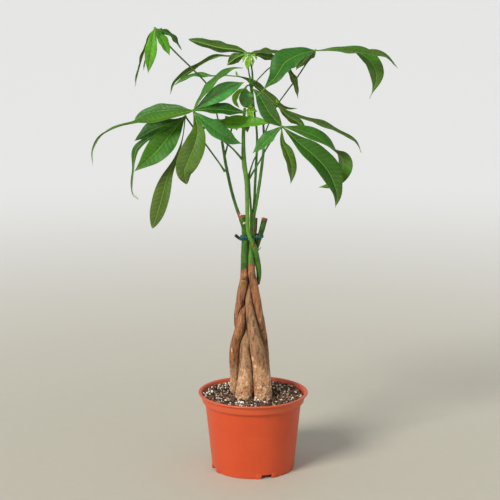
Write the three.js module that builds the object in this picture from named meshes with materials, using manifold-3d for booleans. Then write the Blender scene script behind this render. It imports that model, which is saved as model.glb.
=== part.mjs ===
// A potted money tree: five plaited trunks in a plastic nursery pot, with palm-shaped compound leaves.
// Millimetres, +Z up, the front faces -Y. The origin is the middle of the pot's flat underside.
import * as THREE from "three";
import { mergeVertices } from "three/addons/utils/BufferGeometryUtils.js";
import Module from "manifold-3d";

const wasm = await Module();
wasm.setup();

// ---------------------------------------------------------------- driving dimensions

const GAP = 0.3; // clearance between pieces that touch

const POT = {
  height: 118,
  lipRadius: 82.5,
  lipHeight: 2.6,
  lipFlare: 1.5, // how far the wall slopes out to the lip from below
  collarTopRadius: 78.5,
  collarFootRadius: 76.5,
  collarFoot: 104, // height at which the collar ends
  shoulder: 99.5, // height at which its chamfer meets the body
  shoulderRadius: 72,
  footRadius: 61.8,
  wall: 1.4,
  floor: 2.6,
  sides: 60,
};

const DRAIN = {
  count: 4,
  first: THREE.MathUtils.degToRad(-71), // the first opening, right of the front
  width: 15.5,
  height: 6,
  depth: 9, // how far in from the wall it is cut
  blockWidth: 8, // a raised block on each side of an opening
  blockHeight: 8,
  blockDepth: 1.3,
  blockProud: 0.85,
};

const MIX = {
  edge: 111.5, // height of the surface at the wall
  heap: 3.5, // how much higher the middle is
  crumb: 1.1, // height of the lumps
  rings: [0.18, 0.36, 0.52, 0.68, 0.84, 1],
  sides: 36,
};

const BARK_SIDES = 12;
const STEM_SIDES = 8;
const PETIOLE_SIDES = 6;
const BLADE_THICKNESS = 0.8;
const HUB_RADIUS = 2.1; // the swelling at the top of a petiole, where the leaflets start

const COLOUR = {
  terracotta: "#c4502f",
  mix: "#3f2f26",
  bark: "#9a7350",
  deadWood: "#6f5138",
  youngWood: "#55812f",
  tie: "#0d6470",
  leaf: "#3d7a2a",
  youngLeaf: "#79a82c",
};

// ---------------------------------------------------------------- solids

function solidOf(geometry) {
  const plain = geometry.index ? geometry.clone() : geometry;
  plain.deleteAttribute("normal");
  plain.deleteAttribute("uv");
  const merged = mergeVertices(plain, 1e-4);
  return new wasm.Manifold(
    new wasm.Mesh({
      numProp: 3,
      vertProperties: merged.attributes.position.array,
      triVerts: new Uint32Array(merged.index.array),
    }),
  );
}

function joined(solids) {
  return solids.reduce((whole, next) => whole.add(next));
}

// The body itself, without the slivers and bubbles that are left where two blades brush past each other.
function largest(solid) {
  return solid.decompose().reduce((best, next) => (next.volume() > best.volume() ? next : best));
}

function meshOf(name, solid, colour, roughness) {
  const { numProp, vertProperties, triVerts } = solid.getMesh();
  const positions = new Float32Array((vertProperties.length / numProp) * 3);
  for (let i = 0; i < positions.length / 3; i++)
    positions.set(vertProperties.subarray(i * numProp, i * numProp + 3), 3 * i);
  const geometry = new THREE.BufferGeometry();
  geometry.setAttribute("position", new THREE.BufferAttribute(positions, 3));
  geometry.setIndex(new THREE.BufferAttribute(triVerts, 1));
  geometry.computeVertexNormals();
  const material = new THREE.MeshStandardMaterial({ color: colour, roughness, metalness: 0 });
  const mesh = new THREE.Mesh(geometry, material);
  mesh.name = name;
  return mesh;
}

function curveThrough(points) {
  const vectors = points.map(([x, y, z]) => new THREE.Vector3(x, y, z));
  return new THREE.CatmullRomCurve3(vectors, false, "catmullrom", 0.5);
}

// A limb: a cylinder bent along the stations [x, y, z, radius], with `swell` more at every station.
// `flat` squeezes it at right angles to the axis `upright`.
function limb(stations, sides, perSpan, swell = 0, flat = 1, upright = null) {
  const curve = curveThrough(stations);
  const spans = stations.length - 1;
  const geometry = new THREE.CylinderGeometry(1, 1, 1, sides, spans * perSpan);
  const chord = curve.getPoint(1).sub(curve.getPoint(0)).normalize();
  const across = upright ?? new THREE.Vector3(...(Math.abs(chord.y) < 0.8 ? [0, 1, 0] : [1, 0, 0]));
  const position = geometry.attributes.position;
  for (let i = 0; i < position.count; i++) {
    const t = position.getY(i) + 0.5;
    const span = Math.min(Math.floor(t * spans), spans - 1);
    const radius = THREE.MathUtils.lerp(stations[span][3], stations[span + 1][3], t * spans - span);
    const tangent = curve.getTangent(t);
    const front = across.clone().addScaledVector(tangent, -across.dot(tangent)).normalize();
    const side = front.clone().cross(tangent);
    const point = curve
      .getPoint(t)
      .addScaledVector(front, position.getX(i) * (radius + swell))
      .addScaledVector(side, position.getZ(i) * (radius * flat + swell));
    position.setXYZ(i, point.x, point.y, point.z);
  }
  return solidOf(geometry);
}

function ball([x, y, z], radius) {
  return solidOf(new THREE.IcosahedronGeometry(radius, 1).translate(x, y, z));
}

// ---------------------------------------------------------------- leaflets

const UP = [0, 0, 1];

// One leaflet: a blade that is folded up along its midrib, waved at its margins and drawn out to a drip tip.
//   rib      points of the midrib after the hub, the last one being the tip
//   width    greatest width
//   face     the way the upper side looks: one direction, or one at the hub and one at the tip
//   widest   where along the midrib the blade is widest
//   drip     how fast it narrows beyond that, to its tip
//   fold     how far the two halves fold up, in degrees
//   wave     height of the waves in the margins
function leaflet(hub, blade, order) {
  const { rib, width, face = UP, widest = 0.52, drip = 1.2, fold = 14, wave = 1.3, steps = 9 } = blade;
  const curve = curveThrough([hub, ...rib]);
  const [faceAtHub, faceAtTip] = Array.isArray(face[0]) ? face : [face, face];
  const start = new THREE.Vector3(...faceAtHub).normalize();
  const end = new THREE.Vector3(...faceAtTip).normalize();
  const shape = Math.log(0.5) / Math.log(widest);
  const rise = THREE.MathUtils.degToRad(fold);
  const sheet = new THREE.PlaneGeometry(2, 1, 2, steps);
  const count = sheet.attributes.position.count;
  const corners = new Float32Array(count * 6);
  for (let i = 0; i < count; i++) {
    const across = sheet.attributes.position.getX(i);
    const t = sheet.attributes.position.getY(i) + 0.5;
    const tangent = curve.getTangentAt(t);
    const looks = start.clone().lerp(end, t);
    const normal = looks.addScaledVector(tangent, -looks.dot(tangent)).normalize();
    const side = tangent.clone().cross(normal);
    const taper = Math.sin(Math.PI * t ** shape) ** (t < widest ? 1.1 : drip);
    const half = Math.max((width / 2) * taper, t < 0.5 ? 0.7 : 0.4);
    const ripple = wave * Math.sin(Math.PI * t) * Math.sin(19 * t + 2.4 * order + 1.6 * across);
    const lift = Math.abs(across) * (half * Math.sin(rise) + ripple);
    const middle = curve
      .getPointAt(t)
      .addScaledVector(side, across * half * Math.cos(rise))
      .addScaledVector(normal, lift);
    const top = middle.clone().addScaledVector(normal, BLADE_THICKNESS / 2);
    const under = middle.addScaledVector(normal, -BLADE_THICKNESS / 2);
    corners.set([top.x, top.y, top.z], 3 * i);
    corners.set([under.x, under.y, under.z], 3 * (count + i));
  }
  const faces = [...sheet.index.array];
  const skin = [];
  for (let i = 0; i < faces.length; i += 3) {
    const [a, b, c] = faces.slice(i, i + 3);
    skin.push(a, b, c, count + a, count + c, count + b);
  }
  const columns = 3;
  const border = [];
  for (let k = 0; k < 2; k++) border.push(k);
  for (let k = 0; k < steps; k++) border.push(2 + columns * k);
  for (let k = 2; k > 0; k--) border.push(columns * steps + k);
  for (let k = steps; k > 0; k--) border.push(columns * k);
  border.forEach((a, k) => {
    const b = border[(k + 1) % border.length];
    skin.push(a, b, count + b, a, count + b, count + a);
  });
  const geometry = new THREE.BufferGeometry();
  geometry.setAttribute("position", new THREE.BufferAttribute(corners, 3));
  geometry.setIndex(skin);
  const solid = solidOf(geometry);
  return solid;
}

// A compound leaf in one piece: the petiole from its foot to the hub, a swelling there, and the leaflets.
function leaf({ petiole, radius = 1.2, hub = HUB_RADIUS, leaflets }) {
  const top = petiole[petiole.length - 1];
  const foot = radius * 1.5;
  const stations = petiole.map((point, i) => [...point, i === 0 ? foot : radius]);
  const blades = leaflets.map((blade, i) => leaflet(top, blade, i));
  return joined([limb(stations, PETIOLE_SIDES, 2), ball(top, hub), ...blades]);
}

// ---------------------------------------------------------------- pot and potting mix

// Radius of the inner wall at a height in the body or the collar.
function innerRadius(z) {
  const outer =
    z > POT.collarFoot
      ? THREE.MathUtils.mapLinear(z, POT.collarFoot, POT.height, POT.collarFootRadius, POT.collarTopRadius)
      : THREE.MathUtils.mapLinear(z, 0, POT.shoulder, POT.footRadius, POT.shoulderRadius);
  return outer - POT.wall;
}

function potSolid() {
  const lipFoot = POT.height - POT.lipHeight;
  const profile = [
    [0, 0],
    [POT.footRadius - 1.2, 0],
    [POT.footRadius, 1.2],
    [POT.shoulderRadius, POT.shoulder],
    [POT.collarFootRadius, POT.collarFoot],
    [POT.collarTopRadius, lipFoot - POT.lipFlare],
    [POT.lipRadius - 0.8, lipFoot],
    [POT.lipRadius, lipFoot + 0.9],
    [POT.lipRadius, POT.height - 1],
    [POT.lipRadius - 1.2, POT.height],
    [POT.lipRadius - 3.2, POT.height],
    [POT.collarTopRadius - POT.wall, POT.height - 1.6],
    [POT.collarFootRadius - POT.wall, POT.collarFoot + 0.7],
    [POT.shoulderRadius - POT.wall, POT.shoulder + 0.7],
    [innerRadius(POT.floor + 1), POT.floor + 1],
    [innerRadius(POT.floor) - 1, POT.floor],
    [0, POT.floor],
  ];
  const points = profile.map(([r, z]) => new THREE.Vector2(r, z));
  let pot = solidOf(new THREE.LatheGeometry(points, POT.sides).rotateX(Math.PI / 2));
  for (let k = 0; k < DRAIN.count; k++) {
    const turn = DRAIN.first + (k * 2 * Math.PI) / DRAIN.count;
    const reach = POT.footRadius;
    const opening = new THREE.BoxGeometry(2 * DRAIN.depth, DRAIN.width, 2 * DRAIN.height)
      .translate(reach, 0, 0)
      .rotateZ(turn);
    for (const hand of [-1, 1]) {
      const block = new THREE.BoxGeometry(DRAIN.blockDepth, DRAIN.blockWidth, DRAIN.blockHeight)
        .translate(
          reach - DRAIN.blockDepth / 2 + DRAIN.blockProud,
          hand * (DRAIN.width / 2 + DRAIN.blockWidth / 2 + 0.5),
          DRAIN.blockHeight / 2 + 0.2,
        )
        .rotateZ(turn);
      const outside = new THREE.CylinderGeometry(POT.footRadius + 1.6, POT.footRadius + 0.6, 12, POT.sides)
        .rotateX(Math.PI / 2)
        .translate(0, 0, 6);
      pot = pot.add(solidOf(block).intersect(solidOf(outside)));
    }
    pot = pot.subtract(solidOf(opening));
  }
  return pot;
}

function lumps(x, y) {
  return MIX.crumb * (Math.sin(0.31 * x + 1.1) * Math.sin(0.27 * y) + 0.6 * Math.sin(0.17 * x - 0.23 * y));
}

function mixSolid(holes) {
  const foot = POT.floor + GAP;
  const surface = (share) => MIX.edge + MIX.heap * (1 - share * share);
  const edge = innerRadius(MIX.edge) - GAP;
  const side = [
    [0, foot],
    [innerRadius(foot) - 1.6, foot],
    [innerRadius(POT.floor + 2) - GAP, POT.floor + 2],
    [POT.shoulderRadius - POT.wall - GAP, POT.shoulder + 0.7],
    [POT.collarFootRadius - POT.wall - GAP, POT.collarFoot + 1.1],
    [edge - 0.4, MIX.edge],
  ];
  const top = [...MIX.rings].reverse().slice(1).map((share) => [share * edge, surface(share)]);
  const points = [...side, ...top, [0, surface(0)]].map(([r, z]) => new THREE.Vector2(r, z));
  const geometry = new THREE.LatheGeometry(points, MIX.sides).rotateX(Math.PI / 2);
  const position = geometry.attributes.position;
  for (let i = 0; i < position.count; i++) {
    const [x, y, z] = [position.getX(i), position.getY(i), position.getZ(i)];
    const inside = Math.hypot(x, y) < 0.95 * edge && z > MIX.edge;
    if (inside) position.setZ(i, z + lumps(x, y));
  }
  return holes.reduce((mix, hole) => mix.subtract(hole), solidOf(geometry));
}

// ---------------------------------------------------------------- the five trunks, stations [x, y, z, radius]

const TRUNKS = {
  trunk_front_right: [
    [18, -24, 78, 9],
    [17, -25, 96, 12],
    [16, -25, 112, 12.5],
    [15, -25, 126, 12.3],
    [13.5, -24.5, 145, 11.9],
    [11, -23.5, 163, 11.5],
    [7.6, -22, 183, 10.8],
    [2.8, -19.5, 203, 9.3],
    [-0.8, -16, 222, 8],
    [-3.8, -12, 241, 6.7],
    [-5.8, -6, 259, 5.9],
    [-6.6, 0, 279, 5.2],
    [-4.5, 5, 298, 4.6],
  ],
  trunk_front_left: [
    [-15, -20, 76, 8.5],
    [-15, -22.5, 96, 12.2],
    [-14.4, -23.5, 112, 12.8],
    [-13, -23.5, 126, 11.8],
    [-11.2, -22.5, 148, 10.6],
    [-10.7, -19, 168, 9.7],
    [-11, -13, 186, 8.5],
    [-10, -5, 204, 7],
    [-7.6, 3, 222, 6.3],
    [-5, 10, 240, 5.7],
    [-3.5, 15, 260, 5.2],
    [-3, 15, 280, 4.7],
    [-1, 14, 300, 4],
    [0, 12.5, 325, 3.4],
    [2, 9.5, 350, 2.9],
  ],
  trunk_left: [
    [-27, 10, 78, 7],
    [-27, 9, 98, 9],
    [-26.8, 8, 116, 8.2],
    [-27.1, 6, 135, 7.5],
    [-27.6, 4, 155, 8],
    [-27.6, 0, 177, 8.2],
    [-25.3, -4, 196, 7.7],
    [-21.4, -8, 211, 7.4],
    [-18.5, -8.5, 225, 6.9],
    [-14.3, -4, 240, 6.3],
    [-9, 3.5, 252, 5.8],
    [-3, 8.5, 264, 5.3],
    [4, 8, 279, 4.6],
  ],
  trunk_back: [
    [-7, 22, 76, 7],
    [-7, 23, 96, 9.6],
    [-7.5, 23.5, 112, 9.8],
    [-9, 23, 135, 9],
    [-12, 21, 160, 8.3],
    [-16, 17, 185, 7.4],
    [-20.5, 11.5, 208, 6.7],
    [-22.4, 7, 226, 6.4],
    [-21.8, 3, 240, 6.3],
    [-19.8, 0.5, 253, 6.8],
    [-17.7, -2.5, 266, 7],
    [-15.3, -4, 280, 6.7],
    [-13.2, -4.5, 293, 6.1],
    [-13.2, -4.5, 305, 5.3],
  ],
  trunk_right: [
    [18, 14, 76, 7.5],
    [18.5, 14.5, 96, 9.8],
    [18.6, 14, 112, 10],
    [18, 12.5, 135, 8.6],
    [17.2, 10, 160, 7.6],
    [16.2, 6, 183, 6.9],
    [14.6, 0, 203, 6.4],
    [11.8, -5.5, 222, 6.2],
    [8.8, -9, 240, 6.1],
    [5.6, -10, 260, 6.1],
    [2, -9.5, 280, 6],
    [-1.7, -8, 300, 5.2],
    [-2.9, -7, 312, 4.8],
  ],
};

// ---------------------------------------------------------------- the green tops and the shoots on them

// Each is one growth: its limbs run into each other.
const SHOOTS = {
  shoot_left: [
    [
      [-13.2, -4.5, 305.5, 5.2],
      [-13.1, -4.4, 322, 5.1],
      [-12.5, -3.5, 340, 4.8],
      [-12.2, -2.6, 356, 4.6],
      [-13, -3, 370, 4.5],
      [-15.6, -3.4, 381, 5.4],
      [-16.6, -3.4, 387, 5.2],
    ],
    [
      [-18, -3.4, 382, 2.8],
      [-21.8, -3, 391, 2.5],
      [-26, -2.2, 403, 2.3],
      [-31.5, -0.8, 422, 2.2],
      [-36, 0.6, 442, 2.3],
      [-40.3, 2, 463, 2.2],
      [-43, 3, 480, 2.1],
      [-45.5, 4, 495, 1.9],
    ],
  ],
  shoot_front: [
    [
      [7.6, 3.2, 284, 2.4],
      [8.6, 1.2, 296, 3.6],
      [7.8, -1, 309, 4.1],
      [5.6, -3.2, 322, 4.3],
      [3, -5.6, 335, 4.2],
      [0, -8.6, 345, 4],
    ],
    [
      [0.2, -8.8, 343, 2.9],
      [-3, -11.8, 352, 2.8],
      [-6.8, -12.6, 361, 2.8],
      [-8.4, -12.4, 373, 2.8],
      [-8.7, -12, 398, 2.9],
      [-9.2, -11.6, 425, 3],
      [-10.2, -11.2, 443, 3.2],
      [-12.8, -11, 462, 3.6],
      [-14, -10.8, 480, 3.2],
      [-14.3, -10.4, 505, 2.6],
      [-13.5, -9.8, 530, 2.3],
      [-12.4, -9.2, 546, 1.9],
    ],
  ],
  shoot_centre: [
    [
      [-3.1, -6.8, 312.5, 4.7],
      [-3.4, -5.4, 322, 4.7],
      [-3.2, -1.6, 335, 4.6],
      [-2.2, 0, 350, 4.4],
      [-0.8, 1, 366, 4.3],
      [-1, 1, 380, 4.6],
      [-0.6, 0.6, 392, 4.1],
    ],
    [
      [-2.6, 0, 386, 2],
      [-3.6, -2, 400, 1.7],
      [-5, -4, 422, 1.5],
      [-6.4, -5.4, 443, 1.6],
      [-6.6, -5.8, 448, 1.5],
    ],
    [
      [-0.6, 1, 386, 2.6],
      [1.4, 1.6, 400, 2.2],
      [2.5, 2, 425, 2],
      [3.9, 2.8, 455, 1.9],
      [5.4, 3.6, 485, 1.7],
      [5.3, 4.4, 508, 1.6],
      [3.5, 5, 525, 1.5],
      [0.6, 6, 548, 1.7],
      [-2.4, 6.4, 572, 2.4],
      [-2.6, 6.4, 584, 4.2],
    ],
    [
      [0.6, 0, 386, 2.6],
      [4, -0.4, 402, 2.4],
      [7.6, -0.6, 424, 2.3],
      [11.4, 0, 450, 2.2],
      [14.6, 1.4, 478, 2],
      [15.6, 2.8, 502, 1.8],
      [14.6, 4, 523, 1.6],
    ],
  ],
  cut_stub: [
    [
      [-4, 6.4, 300, 4.3],
      [-0.5, 7.4, 318, 4],
      [5, 6.4, 338, 3.6],
      [8.4, 3.6, 350, 3.7],
      [12, 2.4, 362, 4.1],
      [17, 1.6, 382, 4.4],
    ],
  ],
  dry_stub: [
    [
      [2, 9.5, 351, 2.6],
      [3.4, 8, 364, 2.2],
      [4.6, 7, 377, 1.7],
      [5, 6.6, 381.5, 1.6],
    ],
  ],
};

// ---------------------------------------------------------------- twist tie

const TIE = {
  height: 1.7, // half the ribbon's height
  flat: 0.45, // its thickness as a share of its height
  loop: [
    [-26.5, -11.5, 359.5],
    [-22, -11, 355.5],
    [-18, -10.4, 352.6],
    [-14.4, -9.4, 354],
    [-9, -8, 355],
    [-3, -5.2, 355.4],
    [3, -4.6, 355.2],
    [9, -3, 354.6],
    [13.6, -0.6, 354.4],
    [14.6, 4.6, 354.8],
    [10, 10.4, 355.4],
    [3, 13.8, 355.8],
    [-5, 12, 355.8],
    [-13, 6, 355.6],
    [-18.4, 0, 355.4],
    [-18.2, -6, 355.2],
    [-14.6, -9.2, 355],
  ],
  knots: [
    [-15.4, -9.6, 354.6, 2.4],
    [-10.2, -8.6, 354.4, 2],
  ],
};

// ---------------------------------------------------------------- leaves

const LEAVES = {
  leaf_top_left: {
    petiole: [
      [-45.4, 4, 495],
      [-50, 6, 521],
      [-58, 5, 555],
      [-67, 5, 578.5],
      [-90, 9, 602.5],
      [-119, 17, 630.5],
      [-143, 22, 659],
    ],
    leaflets: [
      { rib: [[-152, 18, 646], [-164, 12, 610], [-171, 8, 583], [-171.5, 6, 573]], width: 11, face: [-1, 0.1, 0.3] },
      { rib: [[-146.5, 13, 638], [-150, 9, 614], [-152.5, 7, 595]], width: 18, face: [0, -1, 0.2] },
      { rib: [[-153, 30, 632], [-161.5, 32, 597]], width: 12, face: [-1, 0.1, 0] },
      { rib: [[-133, 18, 644], [-121, 12, 620]], width: 16, face: [0.4, -0.9, 0.5] },
      { rib: [[-121, 27, 648.5], [-104.5, 30, 627.5]], width: 14, face: [0.6, -0.5, 0.8] },
      { rib: [[-138, 46, 651], [-133, 60, 628]], width: 14, face: [0, 1, 0.6] },
    ],
  },
  leaf_left: {
    petiole: [
      [-41.6, 0, 452],
      [-48, -4, 462.5],
      [-55, -7, 473],
      [-73, -13, 499],
      [-98, -22, 535.5],
    ],
    leaflets: [
      { rib: [[-120, -26, 526], [-145, -28, 516.5], [-163, -29, 506], [-171, -29, 501]], width: 25, face: [0, -0.75, 0.7], widest: 0.6 },
      {
        rib: [[-122, -32, 520], [-148, -37, 506], [-164, -38, 494], [-170, -38, 483], [-172.5, -38, 460], [-175, -38, 439], [-174, -38, 424], [-166.5, -37, 417]],
        width: 12,
        face: [[0, -0.5, 0.9], [-1, -0.6, 0]],
        widest: 0.42,
        steps: 14,
      },
      { rib: [[-117, -34, 513], [-137, -44, 489], [-155, -50, 472.5], [-170, -54, 460]], width: 37, face: [0.1, -0.9, 0.5], widest: 0.5 },
      {
        rib: [[-102, -24, 505], [-109, -27, 480], [-124.5, -30, 446], [-135.5, -33, 407], [-142, -34.5, 387], [-146.5, -35, 374]],
        width: 27,
        face: [-0.3, -0.95, 0.2],
        widest: 0.75,
        drip: 0.75,
        steps: 12,
      },
    ],
  },
  leaf_front_left: {
    petiole: [
      [-16.2, -12.4, 472],
      [-30, -25, 489],
      [-45, -34, 503],
      [-62, -41, 520],
      [-86, -45, 546],
    ],
    leaflets: [
      {
        rib: [[-103, -50, 543], [-121, -53, 538.5], [-141, -56, 534], [-166, -57, 530.5], [-191, -57, 525], [-216, -56, 512], [-229, -55, 490], [-229.5, -54, 469]],
        width: 18,
        face: [[0, -0.9, 0.8], [-0.6, 0.6, 0.8]],
        widest: 0.3,
        steps: 16,
      },
      { rib: [[-111, -39, 547], [-140, -33, 543.5], [-156, -31, 540], [-167, -30, 534], [-171.5, -30, 528]], width: 21, face: [0, -0.75, 0.6], steps: 11 },
      { rib: [[-79, -51, 520], [-83, -57, 499], [-92, -57, 478], [-99, -52, 459], [-95.5, -46, 440.5]], width: 34, face: [0.1, -0.95, 0.3], widest: 0.56, drip: 0.75, steps: 10 },
      { rib: [[-68, -50, 530], [-49, -48, 515.5], [-32, -40, 504], [-17, -30, 497]], width: 29, face: [0.2, -0.75, 0.65], widest: 0.54 },
      { rib: [[-66, -45, 548], [-46, -41, 547], [-26, -34, 544], [-9, -28, 541]], width: 24, face: [0, -0.6, 0.7] },
      { rib: [[-56, -39, 565], [-38, -31, 575], [-24, -25, 580], [-13, -21, 584.5]], width: 24, face: [0.2, -0.9, 0.3], widest: 0.56 },
      { rib: [[-75, -43, 562.5], [-63, -40, 577.5], [-47, -36, 593.5], [-30, -32, 604], [-14.5, -28, 605.5]], width: 20, face: [-0.6, -0.45, 0.6], widest: 0.5, steps: 11 },
    ],
  },
  leaf_top: {
    petiole: [
      [-0.8, 6.6, 581],
      [-1.6, 6.8, 598],
      [-4, 6.8, 611],
      [-6, 7, 624],
    ],
    leaflets: [
      { rib: [[-26, 8, 629], [-46, 11, 631], [-75, 15, 638], [-94, 18, 643]], width: 20, face: [0, 0.8, 0.6], widest: 0.64, drip: 0.85, steps: 10 },
      {
        rib: [[-30, 16, 619.5], [-56, 26, 617], [-91, 34, 597], [-115, 36, 580], [-122.5, 36, 561.5]],
        width: 17,
        face: [[0, 0.2, 1], [-0.3, 0.5, 0.8]],
        widest: 0.6,
        steps: 11,
      },
      { rib: [[-24, 13, 617], [-38, 17, 606]], width: 16, face: [0, 0.9, 0.3], widest: 0.62 },
      { rib: [[15, 12, 625], [32, 16, 623.5], [50, 19, 619.5]], width: 19, face: [0, -0.35, 1] },
      { rib: [[12, 14, 620], [29, 18, 615], [45, 22, 607]], width: 16, face: [0, 0.7, 0.7] },
    ],
  },
  young_leaf_top: {
    petiole: [
      [-3.6, 3.2, 584],
      [-6.6, 1.8, 598],
      [-6.8, 0, 612],
      [-5, -2.4, 622],
    ],
    radius: 1,
    hub: 1.8,
    leaflets: [
      { rib: [[-12, -4, 619.5], [-15.5, -5, 612]], width: 5, face: [-0.5, -0.6, 0.5], steps: 6 },
      { rib: [[-7.6, -6, 612], [-8.6, -6, 601]], width: 9, face: [0, -1, 0.2], steps: 6 },
      { rib: [[-0.8, -3.4, 616], [-0.8, -3.6, 605.5]], width: 4, face: [0.4, -0.9, 0.2], steps: 6 },
      { rib: [[2, -2, 621], [5.4, -2, 615]], width: 4, face: [0.6, -0.7, 0.6], steps: 6 },
    ],
  },
  leaf_upper_back: {
    petiole: [
      [-4.6, 8, 580.5],
      [-9, 6.4, 585],
      [-15, 3, 588.5],
      [-23, -1, 591.5],
    ],
    radius: 0.9,
    hub: 1.8,
    leaflets: [
      {
        rib: [[-10, 13.5, 587], [3, 16, 578], [18, 16, 563.5], [34, 16, 548.5], [50, 16, 542.5], [64.5, 16, 543]],
        width: 19,
        face: [0, 0.5, 0.8],
        widest: 0.6,
        steps: 11,
      },
      { rib: [[-42, 7, 592], [-65, 14, 590.5], [-84, 20, 591], [-102, 21, 584.5], [-116, 21, 576.5]], width: 13, face: [-0.2, -0.4, 0.9], widest: 0.72, steps: 10 },
      { rib: [[-24, -1.6, 595], [-25, -2, 599]], width: 3, face: [0, -1, 0], steps: 4 },
    ],
  },
  leaf_centre: {
    petiole: [
      [-2.6, 4, 577.5],
      [-8, -3, 578],
      [-11, -6, 575],
    ],
    radius: 1,
    hub: 1.8,
    leaflets: [
      { rib: [[-11, -9, 567], [-7.5, -10, 556], [1, -9, 546]], width: 23, face: [-0.3, -1, 0.2], widest: 0.5 },
      { rib: [[-22, -8, 568], [-26.5, -9.4, 557], [-20, -9.6, 546]], width: 9, face: [-0.4, -1, 0.1] },
    ],
  },
  young_leaf_centre: {
    petiole: [
      [-12.6, -9.6, 539],
      [-11, -12, 542],
      [-9.6, -14, 543],
    ],
    radius: 0.9,
    hub: 1.6,
    leaflets: [
      { rib: [[-6, -15, 546], [-3, -15, 553]], width: 5, face: [0.5, -0.8, 0.2], steps: 6 },
      { rib: [[-6, -15, 540], [-2, -15, 531]], width: 10, face: [0.2, -1, 0.2], steps: 6 },
      { rib: [[-2, -13, 545], [6, -11, 541]], width: 6, face: [0, -1, 0.4], steps: 6 },
    ],
  },
  small_leaf_right: {
    petiole: [
      [-1, 7.6, 576.5],
      [4, 7.4, 582.5],
      [13, 7, 592.5],
      [23, 6, 602],
      [36, 5, 609],
      [46, 4, 611.5],
    ],
    radius: 0.9,
    hub: 1.8,
    leaflets: [
      { rib: [[53, 0.5, 597], [60, -2, 582], [65, -4, 559.5]], width: 11, face: [0.4, -0.7, 0.3] },
      { rib: [[56, 6, 606], [66, 8, 604.5]], width: 8, steps: 6 },
      { rib: [[60, 8, 615], [68, 10, 613], [74.5, 11, 605]], width: 5, steps: 6 },
    ],
  },
  leaf_top_right: {
    petiole: [
      [-6.6, -4.4, 446.5],
      [0, -3.6, 467],
      [5, -3, 478],
      [20, -2, 516],
      [33, 1, 546],
      [49, 3, 569],
      [61, 4, 585],
      [75, 5, 606],
      [90, 6, 628],
    ],
    radius: 1,
    leaflets: [
      {
        rib: [[118, 14, 630], [146, 21, 627.5], [168, 25, 614], [179, 26, 597], [180, 26.5, 583], [177, 27, 571], [171, 27, 556]],
        width: 28,
        face: [[0, 0, 1], [0.25, -1, 0.1]],
        widest: 0.64,
        drip: 2.4,
        steps: 13,
      },
      { rib: [[112, 3, 628.5], [135, 0, 626.5], [165, -3, 624.5], [190, -5, 620], [208.5, -5, 603]], width: 20, face: [0, -0.35, 1], widest: 0.6, steps: 11 },
      {
        rib: [[75, -4, 625.5], [59, -10, 620], [45.5, -16, 612], [38, -22, 602], [31.5, -28, 592], [21, -34, 582], [13, -38, 573.5], [5, -40, 566]],
        width: 38,
        face: [[-0.2, -0.6, 0.9], [-0.3, -1, 0.2]],
        widest: 0.44,
        drip: 2.6,
        wave: 2.4,
        steps: 13,
      },
      { rib: [[80, 30, 618], [64, 62, 596]], width: 26, face: [0, 0.4, 1] },
    ],
  },
  leaf_front_right: {
    petiole: [
      [-5.6, -6.6, 443],
      [3, -10, 458],
      [10, -12, 470],
      [17, -15, 484],
      [28, -22, 503],
      [41, -30, 522],
    ],
    leaflets: [
      { rib: [[22, -29, 527], [0, -25, 527], [-22, -21, 525.5], [-42, -19, 524], [-62, -18, 520]], width: 24, face: [0, -0.7, 0.7], widest: 0.62, steps: 10 },
      { rib: [[24, -27, 539.5], [16, -24, 553], [7, -20, 567], [-2, -17, 576]], width: 24, face: [-0.3, -0.9, 0.4], widest: 0.42 },
      { rib: [[30, -33, 512], [14, -36, 497], [-1, -36, 484]], width: 22, face: [-0.3, -0.8, 0.6], fold: 24 },
      { rib: [[41.5, -32, 500], [48, -34, 486.5], [54, -35, 470], [55.5, -35, 452], [54, -34, 438.5]], width: 18, face: [0.45, -0.9, 0.15], widest: 0.58 },
      {
        rib: [[66.5, -37, 498], [90, -42, 478.5], [106.5, -45, 460], [116, -46, 440.5], [120.5, -46, 424], [118.5, -45, 406.5]],
        width: 38,
        face: [0.3, -0.85, 0.5],
        widest: 0.54,
        steps: 12,
      },
      {
        rib: [[56, -24, 518], [75, -18, 512], [98, -12, 501], [115, -8, 486.5], [128.5, -6, 474], [132, -6, 460], [126, -8, 445], [113, -11, 434], [95.5, -14, 431]],
        width: 36,
        face: [[0.05, -1.1, 0.8], [0.3, 0.45, -0.1]],
        widest: 0.52,
        steps: 15,
      },
    ],
  },
  leaf_right: {
    petiole: [
      [14.8, 4, 520],
      [20, 4.4, 531],
      [28, 3.4, 540],
      [35, 5, 548],
    ],
    radius: 1,
    hub: 1.8,
    leaflets: [
      { rib: [[60, 5, 534], [84, 5, 526], [107, 6, 517.5], [130, 7, 506.5], [150, 8, 495], [159, 8, 479]], width: 19, face: [0.35, -0.3, 0.9], steps: 11 },
      { rib: [[52, 3, 532.5], [66, 2, 524], [78, 1, 512.5]], width: 16, face: [0, 0.8, 0.5] },
      { rib: [[35, 3, 552], [33, 2, 558]], width: 4, face: [0, -1, 0], steps: 4 },
    ],
  },
  leaf_back: {
    petiole: [
      [-42, 3.4, 474],
      [-38, 9, 488],
      [-34, 17, 503],
      [-30, 30, 520],
    ],
    leaflets: [
      { rib: [[-44, 58, 520], [-60, 94, 502]], width: 26 },
      { rib: [[-29, 66, 522], [-25, 108, 500]], width: 28 },
      { rib: [[-18, 56, 515], [-8, 84, 500]], width: 22 },
      { rib: [[-54, 42, 520], [-80, 54, 505]], width: 24 },
    ],
  },
};

// ---------------------------------------------------------------- assembly

const tree = new THREE.Group();
const wood = new Map();

// Trunks press against each other: each is cut back by the ones already placed.
for (const [name, stations] of Object.entries(TRUNKS)) {
  let trunk = limb(stations, BARK_SIDES, 1);
  for (const placed of Object.keys(TRUNKS).filter((other) => wood.has(other)))
    trunk = trunk.subtract(limb(TRUNKS[placed], BARK_SIDES, 1, GAP));
  wood.set(name, trunk);
}

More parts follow.
